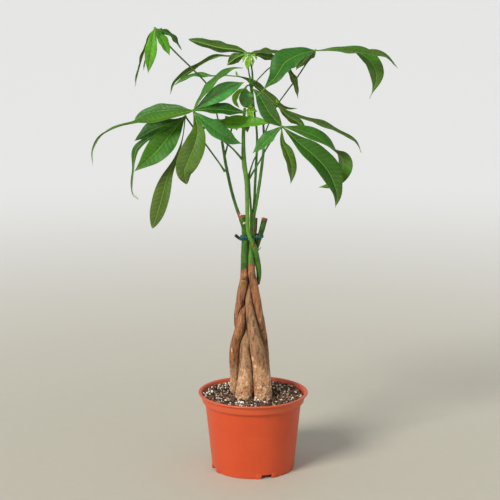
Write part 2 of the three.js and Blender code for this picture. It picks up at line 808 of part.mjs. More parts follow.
function growth(limbs, swell = 0) {
  return joined(limbs.map((stations) => limb(stations, STEM_SIDES, 1, swell)));
}

for (const [name, limbs] of Object.entries(SHOOTS)) {
  let shoot = growth(limbs);
  for (const [placed, stations] of Object.entries(TRUNKS))
    if (wood.has(placed)) shoot = shoot.subtract(limb(stations, BARK_SIDES, 1, GAP));
  for (const [placed, others] of Object.entries(SHOOTS))
    if (wood.has(placed)) shoot = shoot.subtract(growth(others, GAP));
  wood.set(name, shoot);
}

function tieSolid() {
  const stations = TIE.loop.map((point) => [...point, TIE.height]);
  const ribbon = limb(stations, STEM_SIDES, 1, 0, TIE.flat, new THREE.Vector3(...UP));
  const tie = joined([ribbon, ...TIE.knots.map(([x, y, z, r]) => ball([x, y, z], r))]);
  return Object.keys(SHOOTS).reduce((rest, name) => rest.subtract(growth(SHOOTS[name], GAP)), tie);
}

const holes = Object.values(TRUNKS).map((stations) => limb(stations, BARK_SIDES, 1, GAP));

tree.add(meshOf("pot", potSolid(), COLOUR.terracotta, 0.45));
tree.add(meshOf("potting_mix", mixSolid(holes), COLOUR.mix, 1));
for (const name of Object.keys(TRUNKS)) tree.add(meshOf(name, wood.get(name), COLOUR.bark, 0.85));
for (const name of Object.keys(SHOOTS)) {
  const dead = name === "dry_stub";
  tree.add(meshOf(name, wood.get(name), dead ? COLOUR.deadWood : COLOUR.youngWood, dead ? 0.9 : 0.5));
}
tree.add(meshOf("twist_tie", tieSolid(), COLOUR.tie, 0.5));
for (const [name, plan] of Object.entries(LEAVES)) {
  const young = name.startsWith("young");
  const grown = Object.values(SHOOTS).reduce((rest, limbs) => rest.subtract(growth(limbs, GAP)), leaf(plan));
  tree.add(meshOf(name, largest(grown), young ? COLOUR.youngLeaf : COLOUR.leaf, 0.4));
}

export default tree;
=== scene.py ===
"""A potted money tree: five plaited trunks in a plastic nursery pot, with palm-shaped compound leaves.

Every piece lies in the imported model's own frame: +Z up, the front faces -Y, and the origin is the middle
of the pot's flat underside. Meshes are shaped in millimetres, and scaled once to metres by MM.
"""

import logging
import math
import random
from collections.abc import Callable, Iterable, Sequence
from dataclasses import dataclass, field
from enum import Enum, IntEnum

import bmesh
import bpy
from mathutils import Color, Euler, Matrix, Vector, kdtree, noise


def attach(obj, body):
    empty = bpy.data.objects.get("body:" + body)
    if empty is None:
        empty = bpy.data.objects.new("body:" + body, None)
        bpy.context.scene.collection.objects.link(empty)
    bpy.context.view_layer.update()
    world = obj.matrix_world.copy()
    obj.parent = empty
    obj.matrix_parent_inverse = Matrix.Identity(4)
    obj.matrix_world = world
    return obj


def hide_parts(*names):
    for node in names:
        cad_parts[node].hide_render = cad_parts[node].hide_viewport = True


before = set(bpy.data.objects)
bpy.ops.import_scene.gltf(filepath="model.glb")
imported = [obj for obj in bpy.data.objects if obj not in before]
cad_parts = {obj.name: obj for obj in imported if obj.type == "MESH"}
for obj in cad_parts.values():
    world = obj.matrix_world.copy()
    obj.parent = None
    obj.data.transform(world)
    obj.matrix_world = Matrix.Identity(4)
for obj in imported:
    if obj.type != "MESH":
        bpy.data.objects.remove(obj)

MM = 0.001
BODY = "root"
UP = (0, 0, 1)

Point = tuple[float, float, float]
Station = tuple[float, float, float, float]
Stations = tuple[Station, ...]
Socket = bpy.types.NodeSocket
Rgba = tuple[float, float, float, float]
Paint = tuple[float, float, float]
Painter = Callable[[Vector, float], Paint]
Relief = Callable[[Vector, float], float]

log = logging.getLogger("money_tree")


# ---------------------------------------------------------------- small helpers


def blend(low: float, high: float, share: float) -> float:
    """Returns the value that lies share of the way from low to high."""
    return low + (high - low) * share


def ease(value: float, start: float, end: float) -> float:
    """Returns 0 before start, 1 after end, and a smooth rise between them."""
    share = min(max((value - start) / (end - start), 0.0), 1.0)
    return share * share * (3 - 2 * share)


def srgb(red: int, green: int, blue: int) -> Rgba:
    """Returns the scene-linear colour of an 8-bit screen colour."""
    linear = Color((red / 255, green / 255, blue / 255)).from_srgb_to_scene_linear()
    return (*linear, 1.0)


def even(paint: Paint) -> Painter:
    """Returns a painter that gives every point the same paint."""
    return lambda point, along: paint


def faces_round(verts: Iterable[bmesh.types.BMVert]) -> list[bmesh.types.BMFace]:
    """Returns the faces round the vertices, each once."""
    return list({face for vert in verts for face in vert.link_faces})


def dress(faces: Iterable[bmesh.types.BMFace], material: int, smooth: bool = True) -> None:
    """Gives the faces the index of their finish and sets whether they are shaded smooth."""
    for face in faces:
        face.material_index = material
        face.smooth = smooth


def mesh_from(bm: bmesh.types.BMesh, name: str) -> bpy.types.Mesh:
    """Returns a new mesh that holds what was modelled, which is then let go."""
    mesh = bpy.data.meshes.new(name)
    bm.to_mesh(mesh)
    bm.free()
    return mesh


def linked(name: str, data: bpy.types.ID) -> bpy.types.Object:
    """Returns a new object with that data, put into the scene."""
    made = bpy.data.objects.new(name, data)
    bpy.context.scene.collection.objects.link(made)
    return made


@dataclass(frozen=True)
class Spot:
    """An egg-shaped place on a limb's surface: its middle and its half sizes, in millimetres."""

    middle: Point
    half: Point
    rim: float = 1.2

    def share(self, point: Vector, core: float = 0.3) -> float:
        """Returns 1 in the spot's core, 0 outside its rim, and a smooth fall between them."""
        away = Vector([(a - b) / c for a, b, c in zip(point, self.middle, self.half)]).length
        return ease(away, self.rim, core)


class Spline:
    """A smooth curve through its points, walked by an even parameter or by its length."""

    SAMPLES_PER_SPAN = 20

    def __init__(self, points: Iterable[Sequence[float]]) -> None:
        """Keeps the points and measures the curve.

        Args:
            points: where the curve passes, in order.
        """
        self.points = [Vector(point[:3]) for point in points]
        self.spans = len(self.points) - 1
        before = 2 * self.points[0] - self.points[1]
        after = 2 * self.points[-1] - self.points[-2]
        self.guides = [before, *self.points, after]
        marks = self.spans * self.SAMPLES_PER_SPAN
        places = [self.at(i / marks) for i in range(marks + 1)]
        self.reached = [0.0]
        for here, there in zip(places, places[1:]):
            self.reached.append(self.reached[-1] + (there - here).length)

    @property
    def length(self) -> float:
        """Returns the curve's length."""
        return self.reached[-1]

    def at(self, t: float) -> Vector:
        """Returns the point at the even parameter t, from 0 to 1."""
        place = min(max(t, 0.0), 1.0) * self.spans
        span = min(int(place), self.spans - 1)
        u = place - span
        p0, p1, p2, p3 = self.guides[span : span + 4]
        leave = (p2 - p0) / 2
        arrive = (p3 - p1) / 2
        square = 3 * (p2 - p1) - 2 * leave - arrive
        cube = 2 * (p1 - p2) + leave + arrive
        return p1 + u * leave + u * u * square + u * u * u * cube

    def heading(self, t: float) -> Vector:
        """Returns the unit tangent at the even parameter t."""
        step = 1e-4
        return (self.at(min(t + step, 1)) - self.at(max(t - step, 0))).normalized()

    def by_length(self, share: float) -> float:
        """Returns the even parameter at that share of the length."""
        wanted = share * self.length
        marks = len(self.reached) - 1
        index = next((i for i in range(1, marks) if self.reached[i] >= wanted), marks)
        start, end = self.reached[index - 1], self.reached[index]
        return (index - 1 + (wanted - start) / max(end - start, 1e-9)) / marks


def radius_at(stations: Stations, t: float) -> float:
    """Returns a limb's radius at the even parameter t."""
    place = t * (len(stations) - 1)
    span = min(int(place), len(stations) - 2)
    return blend(stations[span][3], stations[span + 1][3], place - span)


# ---------------------------------------------------------------- meshes in the making


class Blank:
    """A mesh in the making, in millimetres, with a UV map and the paint that its finishes read."""

    def __init__(self, *measures: str) -> None:
        """Starts an empty mesh.

        Args:
            measures: names of further numbers that every vertex holds.
        """
        self.bm = bmesh.new()
        self.uv = self.bm.loops.layers.uv.new("UVMap")
        self.paint = self.bm.verts.layers.float_color.new("paint")
        self.measures = {name: self.bm.verts.layers.float.new(name) for name in measures}

    def sweep(
        self,
        stations: Stations,
        sides: int,
        step: float,
        relief: Relief | None = None,
        painter: Painter | None = None,
        flat: float = 1.0,
        upright: Vector | None = None,
        material: int = 0,
        dome: float = 0.15,
    ) -> list[bmesh.types.BMVert]:
        """Adds a round limb along stations: a grid wrapped into a tube, welded and closed at both ends.

        Args:
            stations: points (x, y, z, radius) that the limb passes.
            sides: faces round the limb.
            step: length of a face along the limb.
            relief: how far a surface point stands out, from the point and its distance along the limb.
            painter: the paint of a surface point, from the same two.
            flat: thickness across `upright` as a share of the size along it.
            upright: the axis that a flat limb stands along.
            material: index of the finish.
            dome: how far the closed ends bulge, as a share of the radius.

        Returns:
            The limb's vertices.
        """
        curve = Spline(stations)
        rings = max(2, round(curve.length / step))
        chord = (curve.at(1) - curve.at(0)).normalized()
        across = upright or (Vector((0, 1, 0)) if abs(chord.y) < 0.8 else Vector((1, 0, 0)))
        frames = []
        travelled = 0.0
        for i in range(rings + 1):
            t = i / rings
            tangent = curve.heading(t)
            front = (across - tangent * across.dot(tangent)).normalized()
            radius = radius_at(stations, t)
            middle = curve.at(t)
            if frames:
                travelled += (middle - frames[-1][0]).length
            frames.append((middle, front, tangent.cross(front), radius, travelled))
        made = bmesh.ops.create_grid(self.bm, x_segments=sides, y_segments=rings, size=1,
                                     calc_uvs=True)
        ends = []
        for vert in made["verts"]:
            turn = math.pi * vert.co.x
            ring = round((vert.co.y + 1) / 2 * rings)
            middle, front, side, radius, along = frames[ring]
            out = front * math.cos(turn) + side * math.sin(turn) * flat
            point = middle + out * radius
            rise = relief(point, along) if relief else 0.0
            vert.co = point + out.normalized() * rise
            if painter:
                vert[self.paint] = (*painter(point, along), 1.0)
            if ring in (0, rings):
                ends.append(vert)
        bmesh.ops.remove_doubles(self.bm, verts=made["verts"], dist=1e-4)
        verts = [vert for vert in made["verts"] if vert.is_valid]
        ends = [vert for vert in ends if vert.is_valid]
        rims = {edge for vert in ends for edge in vert.link_edges if edge.is_boundary}
        lids = bmesh.ops.holes_fill(self.bm, edges=list(rims), sides=0)["faces"]
        crowns = bmesh.ops.poke(self.bm, faces=lids, offset=dome * stations[0][3])["verts"]
        if painter:
            for vert in crowns:
                at_foot = (vert.co - curve.at(0)).length < (vert.co - curve.at(1)).length
                vert[self.paint] = (*painter(vert.co, 0.0 if at_foot else travelled), 1.0)
        faces = faces_round(verts)
        bmesh.ops.recalc_face_normals(self.bm, faces=faces)
        dress(faces, material)
        return [*verts, *crowns]

    def ball(self, centre: Sequence[float], radius: float, paint: Paint, material: int = 0,
             squash: float = 1.0, lumps: float = 0.0) -> None:
        """Adds a slightly lumpy ball.

        Args:
            centre: its middle.
            radius: its radius across.
            paint: its paint.
            material: index of the finish.
            squash: its height as a share of its width.
            lumps: height of the lumps as a share of the radius.
        """
        place = Matrix.Translation(Vector(centre[:3])) @ Matrix.Diagonal((1, 1, squash, 1))
        made = bmesh.ops.create_icosphere(self.bm, subdivisions=3, radius=radius, matrix=place,
                                          calc_uvs=True)
        for vert in made["verts"]:
            out = vert.co - Vector(centre[:3])
            vert.co += out * lumps * noise.noise(vert.co * (1.6 / radius))
            vert[self.paint] = (*paint, 1.0)
        dress(faces_round(made["verts"]), material)

    def grain(self, centre: Vector, size: Vector, draw: random.Random, paint: Paint, material: int) -> None:
        """Adds a small broken grain of 20 faces.

        Args:
            centre: its middle.
            size: its half sizes before it is turned.
            draw: the seeded source of its turn and its dents.
            paint: its paint.
            material: index of the finish.
        """
        turn = Euler([draw.uniform(0, math.tau) for _ in range(3)]).to_matrix().to_4x4()
        place = Matrix.Translation(centre) @ turn @ Matrix.Diagonal((*size, 1))
        made = bmesh.ops.create_icosphere(self.bm, subdivisions=1, radius=1, matrix=place, calc_uvs=True)
        for vert in made["verts"]:
            vert.co = centre + (vert.co - centre) * draw.uniform(0.72, 1.12)
            vert[self.paint] = (*paint, 1.0)
        dress(faces_round(made["verts"]), material, smooth=False)

    def turned(self, profile: Sequence[tuple[float, float]], steps: int) -> list[bmesh.types.BMVert]:
        """Adds a body of revolution round the Z axis.

        Args:
            profile: points (radius, height) from the axis, up the outside and back to the axis.
            steps: faces round the body.

        Returns:
            The body's vertices.
        """
        verts = [self.bm.verts.new((radius, 0, height)) for radius, height in profile]
        edges = [self.bm.edges.new(pair) for pair in zip(verts, verts[1:])]
        bmesh.ops.spin(self.bm, geom=[*verts, *edges], cent=(0, 0, 0), axis=UP, angle=math.tau, steps=steps,
                       use_merge=True)
        bmesh.ops.remove_doubles(self.bm, verts=self.bm.verts, dist=1e-3)
        bmesh.ops.recalc_face_normals(self.bm, faces=self.bm.faces)
        dress(self.bm.faces, 0)
        return self.bm.verts[:]

    def finished(self, name: str, finishes: Sequence[bpy.types.Material],
                 node: str) -> bpy.types.Object:
        """Makes the object, rides it on the tree's body and lets it stand for its node.

        Args:
            name: the piece's name.
            finishes: its materials, by index.
            node: the node that it replaces.

        Returns:
            The object, at the origin, with its place in its mesh.
        """
        bmesh.ops.scale(self.bm, vec=(MM, MM, MM), verts=self.bm.verts)
        mesh = mesh_from(self.bm, name)
        for finish in finishes:
            mesh.materials.append(finish)
        piece = linked(name, mesh)
        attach(piece, BODY)
        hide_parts(node)
        log.info("%s: %d faces", name, len(mesh.polygons))
        return piece


# ---------------------------------------------------------------- finishes


class Graph:
    """Short words for the nodes of one procedural finish, or of the light all around."""

    def __init__(self, name: str, world: bool = False) -> None:
        """Starts a material or a world.

        Args:
            name: its name.
            world: whether it is a world.
        """
        self.owner = (bpy.data.worlds if world else bpy.data.materials).new(name)
        self.owner.use_nodes = True
        self.tree = self.owner.node_tree
        self.surface = self.tree.nodes["Background" if world else "Principled BSDF"]

    def feed(self, socket: Socket, value: object) -> None:
        """Links the socket to another socket, or sets it to a plain value."""
        if isinstance(value, bpy.types.NodeSocket):
            self.tree.links.new(value, socket)
        else:
            socket.default_value = value

    def node(self, kind: str, inputs: dict[str | int, object], **settings: object) -> bpy.types.Node:
        """Adds a shader node.

        Args:
            kind: its type, without the first part of the name.
            inputs: values or sockets, by the input's name or index.
            settings: its own properties.

        Returns:
            The node.
        """
        made = self.tree.nodes.new("ShaderNode" + kind)
        for key, value in settings.items():
            setattr(made, key, value)
        for key, value in inputs.items():
            self.feed(made.inputs[key], value)
        return made

    def place(self, scale: Point = (1, 1, 1)) -> Socket:
        """Returns the piece's own coordinates, in metres, stretched by scale."""
        own = self.node("TexCoord", {}).outputs["Object"]
        return self.node("Mapping", {"Vector": own, "Scale": scale}).outputs["Vector"]

    def measure(self, name: str) -> Socket:
        """Returns a number that the mesh holds."""
        return self.node("Attribute", {}, attribute_name=name).outputs["Fac"]

    def paints(self) -> tuple[Socket, Socket, Socket]:
        """Returns the three channels of the mesh's paint."""
        held = self.node("Attribute", {}, attribute_name="paint").outputs["Color"]
        parts = self.node("SeparateColor", {"Color": held}).outputs
        return parts[0], parts[1], parts[2]

    def noise(self, vector: Socket, scale: float, detail: float = 3, roughness: float = 0.5,
              distortion: float = 0) -> Socket:
        """Returns a cloudy value from 0 to 1."""
        inputs = {"Vector": vector, "Scale": scale, "Detail": detail, "Roughness": roughness,
                  "Distortion": distortion}
        return self.node("TexNoise", inputs).outputs["Fac"]

    def cells(self, vector: Socket, scale: float, feature: str = "DISTANCE_TO_EDGE") -> Socket:
        """Returns a distance in a pattern of cells."""
        cell = self.node("TexVoronoi", {"Vector": vector, "Scale": scale}, feature=feature)
        return cell.outputs["Distance"]

    def math(self, operation: str, first: object, second: object = 0.0) -> Socket:
        """Returns the result of a math node."""
        return self.node("Math", {0: first, 1: second}, operation=operation).outputs[0]

    def times(self, first: object, second: object) -> Socket:
        """Returns the product of two values."""
        return self.math("MULTIPLY", first, second)

    def span(self, value: Socket, start: float, end: float, low: float = 0.0,
             high: float = 1.0) -> Socket:
        """Returns value eased from low at start to high at end."""
        inputs = {"Value": value, "From Min": start, "From Max": end, "To Min": low, "To Max": high}
        return self.node("MapRange", inputs, interpolation_type="SMOOTHSTEP").outputs["Result"]

    def mix(self, share: object, first: object, second: object) -> Socket:
        """Returns the colour between two others."""
        return self.node("Mix", {0: share, 6: first, 7: second}, data_type="RGBA").outputs[2]

    def cover(self, colour: Socket, where: Socket, share: float, over: Rgba) -> Socket:
        """Returns the colour with that share of another over it, where the value is 1."""
        return self.mix(self.times(where, share), colour, over)

    def shade(self, colour: Socket, value: Socket, low: float, high: float) -> Socket:
        """Returns the colour, made darker or lighter as value goes from 0.25 to 0.75."""
        bright = self.span(value, 0.25, 0.75, low, high)
        inputs = {"Color": colour, "Value": bright}
        return self.node("HueSaturation", inputs).outputs["Color"]

    def bump(self, height: Socket, depth: float, under: Socket | None = None) -> Socket:
        """Returns the normal of a surface with that height, depth metres high."""
        inputs = {"Height": height, "Distance": depth, "Strength": 1.0}
        if under:
            inputs["Normal"] = under
        return self.node("Bump", inputs).outputs["Normal"]

    def done(self, colour: Socket, roughness: Socket, normal: Socket,
             **sockets: float) -> bpy.types.Material:
        """Feeds the surface shader.

        Args:
            colour: base colour.
            roughness: roughness.
            normal: normal.
            sockets: plain values for the shader's own sockets, with _ for a space.

        Returns:
            The finished material.
        """
        for key, socket in (("Base Color", colour), ("Roughness", roughness), ("Normal", normal)):
            self.feed(self.surface.inputs[key], socket)
        for key, value in sockets.items():
            self.surface.inputs[key.replace("_", " ")].default_value = value
        return self.owner


@dataclass(frozen=True)
class PotPlastic:
    """Terracotta-coloured polypropylene: satin, with faint flow marks, dust low down and a painted
    highlight on the collar and lip.

    Heights are in metres above the underside. Scales tell how fine a pattern is, depths how high it
    stands, in metres, and the other plain numbers are shares.
    """

    name: str = "pot_plastic"
    base: Rgba = srgb(208, 80, 40)
    deep: Rgba = srgb(200, 73, 35)
    collar_highlight: Rgba = srgb(240, 132, 92)
    dust: Rgba = srgb(206, 140, 104)
    collar: tuple[float, float] = (0.1, 0.106)
    collar_highlight_share: float = 0.16
    dusty_foot: float = 0.016
    foot_dust: float = 0.35
    loose_dust: float = 0.06
    scuffed: float = 0.12
    gloss: tuple[float, float] = (0.34, 0.46)
    cloud_scale: float = 14
    flow_scale: float = 22
    dust_scale: float = 420
    scuff_scale: float = 120
    peel_scale: float = 700
    flow_depth: float = 0.00007
    peel_depth: float = 0.00004

    def make(self) -> bpy.types.Material:
        """Returns the material."""
        g = Graph(self.name)
        own = g.place()
        clouds = g.noise(own, self.cloud_scale, 4)
        flow = g.noise(g.place((1, 1, 9)), self.flow_scale, 5, 0.6, 0.3)
        colour = g.mix(g.span(clouds, 0.3, 0.7), self.deep, self.base)
        colour = g.shade(colour, flow, 0.98, 1.02)
        height = g.node("SeparateXYZ", {"Vector": own}).outputs[2]
        # The collar and lip are painted lighter towards the top: a painted highlight.
        colour = g.mix(g.span(height, *self.collar, 0.0, self.collar_highlight_share), colour, self.collar_highlight)
        foot = g.span(height, 0.0, self.dusty_foot, 1.0, 0.0)
        specks = g.span(g.noise(own, self.dust_scale, 4, 0.7), 0.56, 0.74)
        settled = g.times(g.math("ADD", g.times(foot, self.foot_dust), self.loose_dust), specks)
        colour = g.mix(settled, colour, self.dust)
        scuffs = g.span(g.noise(g.place((1, 1, 6)), self.scuff_scale, 6, 0.75, 1.4), 0.62, 0.7)
        colour = g.cover(colour, scuffs, self.scuffed, self.dust)
        rough = g.math("ADD", g.span(clouds, 0.2, 0.8, *self.gloss), g.times(scuffs, 0.2))
        peel = g.bump(g.noise(own, self.peel_scale, 2), self.peel_depth)
        normal = g.bump(flow, self.flow_depth, peel)
        return g.done(colour, rough, normal, Coat_Weight=0.05, Coat_Roughness=0.35,
                      Specular_IOR_Level=0.35)


@dataclass(frozen=True)
class Grit:
    """One of the loose things in the mix. The red paint is a grain's own share of the second colour."""

    name: str
    dark: Rgba
    light: Rgba
    rough: float = 0.9
    grain: float = 900
    depth: float = 0.0004

    def make(self) -> bpy.types.Material:
        """Returns the material."""
        g = Graph(self.name)
        own = g.place()
        share, _, _ = g.paints()
        speckle = g.noise(own, self.grain, 4, 0.7)
        colour = g.mix(share, self.dark, self.light)
        colour = g.shade(colour, speckle, 0.7, 1.25)
        rough = g.span(speckle, 0.2, 0.8, self.rough - 0.1, self.rough)
        return g.done(colour, rough, g.bump(speckle, self.depth))


@dataclass(frozen=True)
class Bark:
    """Bark. Paint: how green it still is, how flaky it is, and its own relief.

    Three more measures tell a trunk's own share of the warm brown, where it presses against another limb,
    and where its bark has come off. Where it presses, it is painted near black as painted shade; the relief
    paint darkens the valleys as painted shade and lightens the crests as painted highlight. The numbers
    after the colours are the shares of a colour that each kind of mark shows, then how fine its patterns
    are, and how high they stand, in metres.
    """

    name: str = "bark"
    base: Rgba = srgb(150, 112, 77)
    dark: Rgba = srgb(62, 40, 27)
    warm: Rgba = srgb(152, 97, 60)
    pale: Rgba = srgb(238, 203, 164)
    tan: Rgba = srgb(208, 157, 112)
    bare: Rgba = srgb(232, 184, 140)
    green: Rgba = srgb(84, 108, 34)
    pressed_shade: Rgba = srgb(42, 24, 13)
    dark_streaks: float = 0.76
    tan_streaks: float = 0.5
    tan_crust: float = 0.8
    pale_scales: float = 0.8
    warm_splits: float = 0.88
    dark_specks: float = 0.8
    valley_shade: float = 0.6
    tan_marks: float = 0.45
    crest_highlight: float = 0.35
    dark_pits: float = 0.45
    green_left: float = 0.85
    bare_wood: float = 0.85
    pressed_shade_share: float = 0.88
    cloud_scale: float = 38
    streak_scale: float = 260
    fibre_scale: float = 1300
    plate_scale: float = 210
    speck_scale: float = 560
    mark_scale: float = 190
    pit_scale: float = 210
    rag_scale: float = 330
    fibre_depth: float = 0.00025
    streak_depth: float = 0.0011
    plate_depth: float = 0.0016

    def make(self) -> bpy.types.Material:
        """Returns the material."""
        g = Graph(self.name)
        own = g.place()
        long = g.place((1, 1, 0.14))
        green, flaky, relief = g.paints()
        clouds = g.noise(g.place((1, 1, 0.5)), self.cloud_scale, 4, 0.6)
        streaks = g.noise(long, self.streak_scale, 6, 0.6, 0.4)
        fibres = g.noise(g.place((1, 1, 0.08)), self.fibre_scale, 3, 0.6)
        warmth = g.math("ADD", clouds, g.measure("warmth"))
        colour = g.mix(g.span(warmth, 0.4, 0.75), self.base, self.warm)
        colour = g.mix(g.span(streaks, 0.52, 0.36, 0.0, self.dark_streaks), colour, self.dark)
        colour = g.mix(g.span(streaks, 0.55, 0.7, 0.0, self.tan_streaks), colour, self.tan)
        colour = g.mix(g.span(flaky, 0.15, 0.9, 0.0, self.tan_crust), colour, self.tan)
        plates = g.noise(g.place((1, 1, 0.55)), self.plate_scale, 6, 0.7, 0.9)
        scales = g.times(g.span(plates, 0.5, 0.58), flaky)
        colour = g.cover(colour, scales, self.pale_scales, self.pale)
        split = g.times(g.span(plates, 0.46, 0.38), flaky)
        colour = g.cover(colour, split, self.warm_splits, self.warm)
        specks = g.times(g.span(g.noise(own, self.speck_scale, 4, 0.65), 0.57, 0.64), flaky)
        colour = g.cover(colour, specks, self.dark_specks, self.dark)
        # The relief's valleys are painted darker: painted shade.
        colour = g.mix(g.span(relief, 0.4, 0.1, 0.0, self.valley_shade), colour, self.dark)
        marks = g.span(g.noise(g.place((0.5, 0.5, 2.4)), self.mark_scale, 3), 0.63, 0.7)
        colour = g.cover(colour, marks, self.tan_marks, self.tan)
        # The relief's crests are painted paler: a painted highlight.
        colour = g.mix(g.span(relief, 0.6, 0.85, 0.0, self.crest_highlight), colour, self.pale)
        pits = g.span(g.cells(g.place((1, 1, 2.2)), self.pit_scale, "F1"), 0.13, 0.05)
        colour = g.cover(colour, pits, self.dark_pits, self.dark)
        rag = g.times(g.noise(own, self.rag_scale, 4), 1.6)
        ragged = g.span(g.math("ADD", green, rag), 1.2, 1.5)
        colour = g.cover(colour, ragged, self.green_left, self.green)
        colour = g.shade(colour, fibres, 0.86, 1.12)
        colour = g.cover(colour, g.measure("peel"), self.bare_wood, self.bare)
        # Where the trunk presses against another limb it is painted near black: painted shade.
        colour = g.cover(colour, g.measure("crevice"), self.pressed_shade_share, self.pressed_shade)
        rough = g.span(clouds, 0.2, 0.8, 0.72, 0.9)
        fine = g.bump(fibres, self.fibre_depth)
        cracks = g.bump(streaks, self.streak_depth, fine)
        normal = g.bump(g.times(plates, flaky), self.plate_depth, cracks)
        return g.done(colour, rough, normal, Specular_IOR_Level=0.3)


@dataclass(frozen=True)
class Stem:
    """Green stems. Paint: how pale, how corky and how dark the place is."""

    name: str = "stem"
    green: Rgba = srgb(74, 128, 24)
    deep: Rgba = srgb(46, 96, 14)
    pale: Rgba = srgb(128, 176, 62)
    cork: Rgba = srgb(172, 114, 74)
    cork_dark: Rgba = srgb(84, 48, 30)
    cream: Rgba = srgb(240, 214, 174)
    dusky: Rgba = srgb(30, 48, 16)
    pale_dots: float = 0.35
    streak_scale: float = 700
    cloud_scale: float = 60
    dot_scale: float = 300
    torn_scale: float = 330
    crust_scale: float = 700
    streak_depth: float = 0.00035
    crust_depth: float = 0.001

    def make(self) -> bpy.types.Material:
        """Returns the material."""
        g = Graph(self.name)
        own = g.place()
        long = g.place((1, 1, 0.1))
        pale, corky, dusky = g.paints()
        streaks = g.noise(long, self.streak_scale, 5, 0.6)
        clouds = g.noise(own, self.cloud_scale, 3)
        colour = g.mix(g.span(clouds, 0.3, 0.7), self.deep, self.green)
        colour = g.shade(colour, streaks, 0.88, 1.14)
        # The dusky share is the stem's own darker mottling and, where limbs press together, painted shade.
        colour = g.mix(dusky, colour, self.dusky)
        colour = g.mix(pale, colour, self.pale)
        dots = g.span(g.cells(g.place((1, 1, 0.5)), self.dot_scale, "F1"), 0.14, 0.07)
        colour = g.cover(colour, dots, self.pale_dots, self.pale)
        torn = g.noise(g.place((1, 1, 0.4)), self.torn_scale, 5, 0.65)
        rag = g.math("ADD", corky, g.times(torn, 2.6))
        brown = g.mix(g.span(streaks, 0.35, 0.65), self.cork_dark, self.cork)
        brown = g.mix(g.span(pale, 0.5, 0.9), brown, self.cream)
        colour = g.mix(g.span(rag, 1.8, 1.92), colour, brown)
        rough = g.span(rag, 1.7, 1.95, 0.42, 0.85)
        ridges = g.bump(streaks, self.streak_depth)
        crust = g.times(g.noise(own, self.crust_scale, 5, 0.7), corky)
        normal = g.bump(crust, self.crust_depth, ridges)
        return g.done(colour, rough, normal, Subsurface_Weight=0.05, Subsurface_Scale=0.003,
                      Specular_IOR_Level=0.4)


@dataclass(frozen=True)
class DeadWood:
    """The dry grey-brown stub."""

    name: str = "dead_wood"
    base: Rgba = srgb(146, 104, 76)
    dark: Rgba = srgb(88, 56, 40)
    streak_scale: float = 800
    cloud_scale: float = 200
    streak_depth: float = 0.0009

    def make(self) -> bpy.types.Material:
        """Returns the material."""
        g = Graph(self.name)
        streaks = g.noise(g.place((1, 1, 0.12)), self.streak_scale, 6, 0.7, 0.6)
        colour = g.mix(g.span(streaks, 0.35, 0.65), self.dark, self.base)
        colour = g.shade(colour, g.noise(g.place(), self.cloud_scale, 3), 0.8, 1.2)
        rough = g.span(streaks, 0.2, 0.8, 0.8, 0.92)
        return g.done(colour, rough, g.bump(streaks, self.streak_depth))


@dataclass(frozen=True)
class TiePlastic:
    """Teal ribbon over a wire. The red paint marks the black end."""

    name: str = "tie_plastic"
    base: Rgba = srgb(0, 78, 84)
    light: Rgba = srgb(4, 106, 108)
    black: Rgba = srgb(3, 6, 8)
    crimp_scale: float = 900
    crimp_depth: float = 0.0002

    def make(self) -> bpy.types.Material:
        """Returns the material."""
        g = Graph(self.name)
        black, _, _ = g.paints()
        crimps = g.noise(g.place(), self.crimp_scale, 3)
        colour = g.mix(g.span(crimps, 0.4, 0.75), self.base, self.light)
        colour = g.mix(black, colour, self.black)
        rough = g.span(crimps, 0.2, 0.8, 0.3, 0.45)
        return g.done(colour, rough, g.bump(crimps, self.crimp_depth), Coat_Weight=0.1,
                      Coat_Roughness=0.3)


class Tone(Enum):
    """A leaflet's colour: shares of fresh yellow-green, olive and cool blue-green, partly its own tone and
    partly painted light.
    """

    MID = (0.25, 0.1, 0.1)
    DEEP = (0.0, 0.0, 0.05)
    VIVID = (0.24, 0.0, 0.0)
    RICH = (0.04, 0.06, 0.0)
    RICH_COOL = (0.04, 0.0, 0.18)
    BRIGHT = (0.85, 0.0, 0.0)
    FRESH = (0.65, 0.0, 0.0)
    LIGHT = (0.4, 0.45, 0.0)
    # Lightened to lift a leaflet that lies in the shade of the leaves above: painted light.
    PALE_OLIVE = (1.0, 0.3, 0.0)
    OLIVE = (0.0, 0.75, 0.0)
    OLIVE_BRIGHT = (0.4, 0.6, 0.0)
    COOL = (0.15, 0.0, 0.6)
    COOL_MID = (0.12, 0.12, 0.5)
    # Its large cool share paints the glossy sheen of its leaflets.
    COOL_BRIGHT = (0.45, 0.0, 0.95)
    COOL_GREY = (0.0, 0.4, 0.4)
    YOUNG = (1.0, 0.2, 0.0)


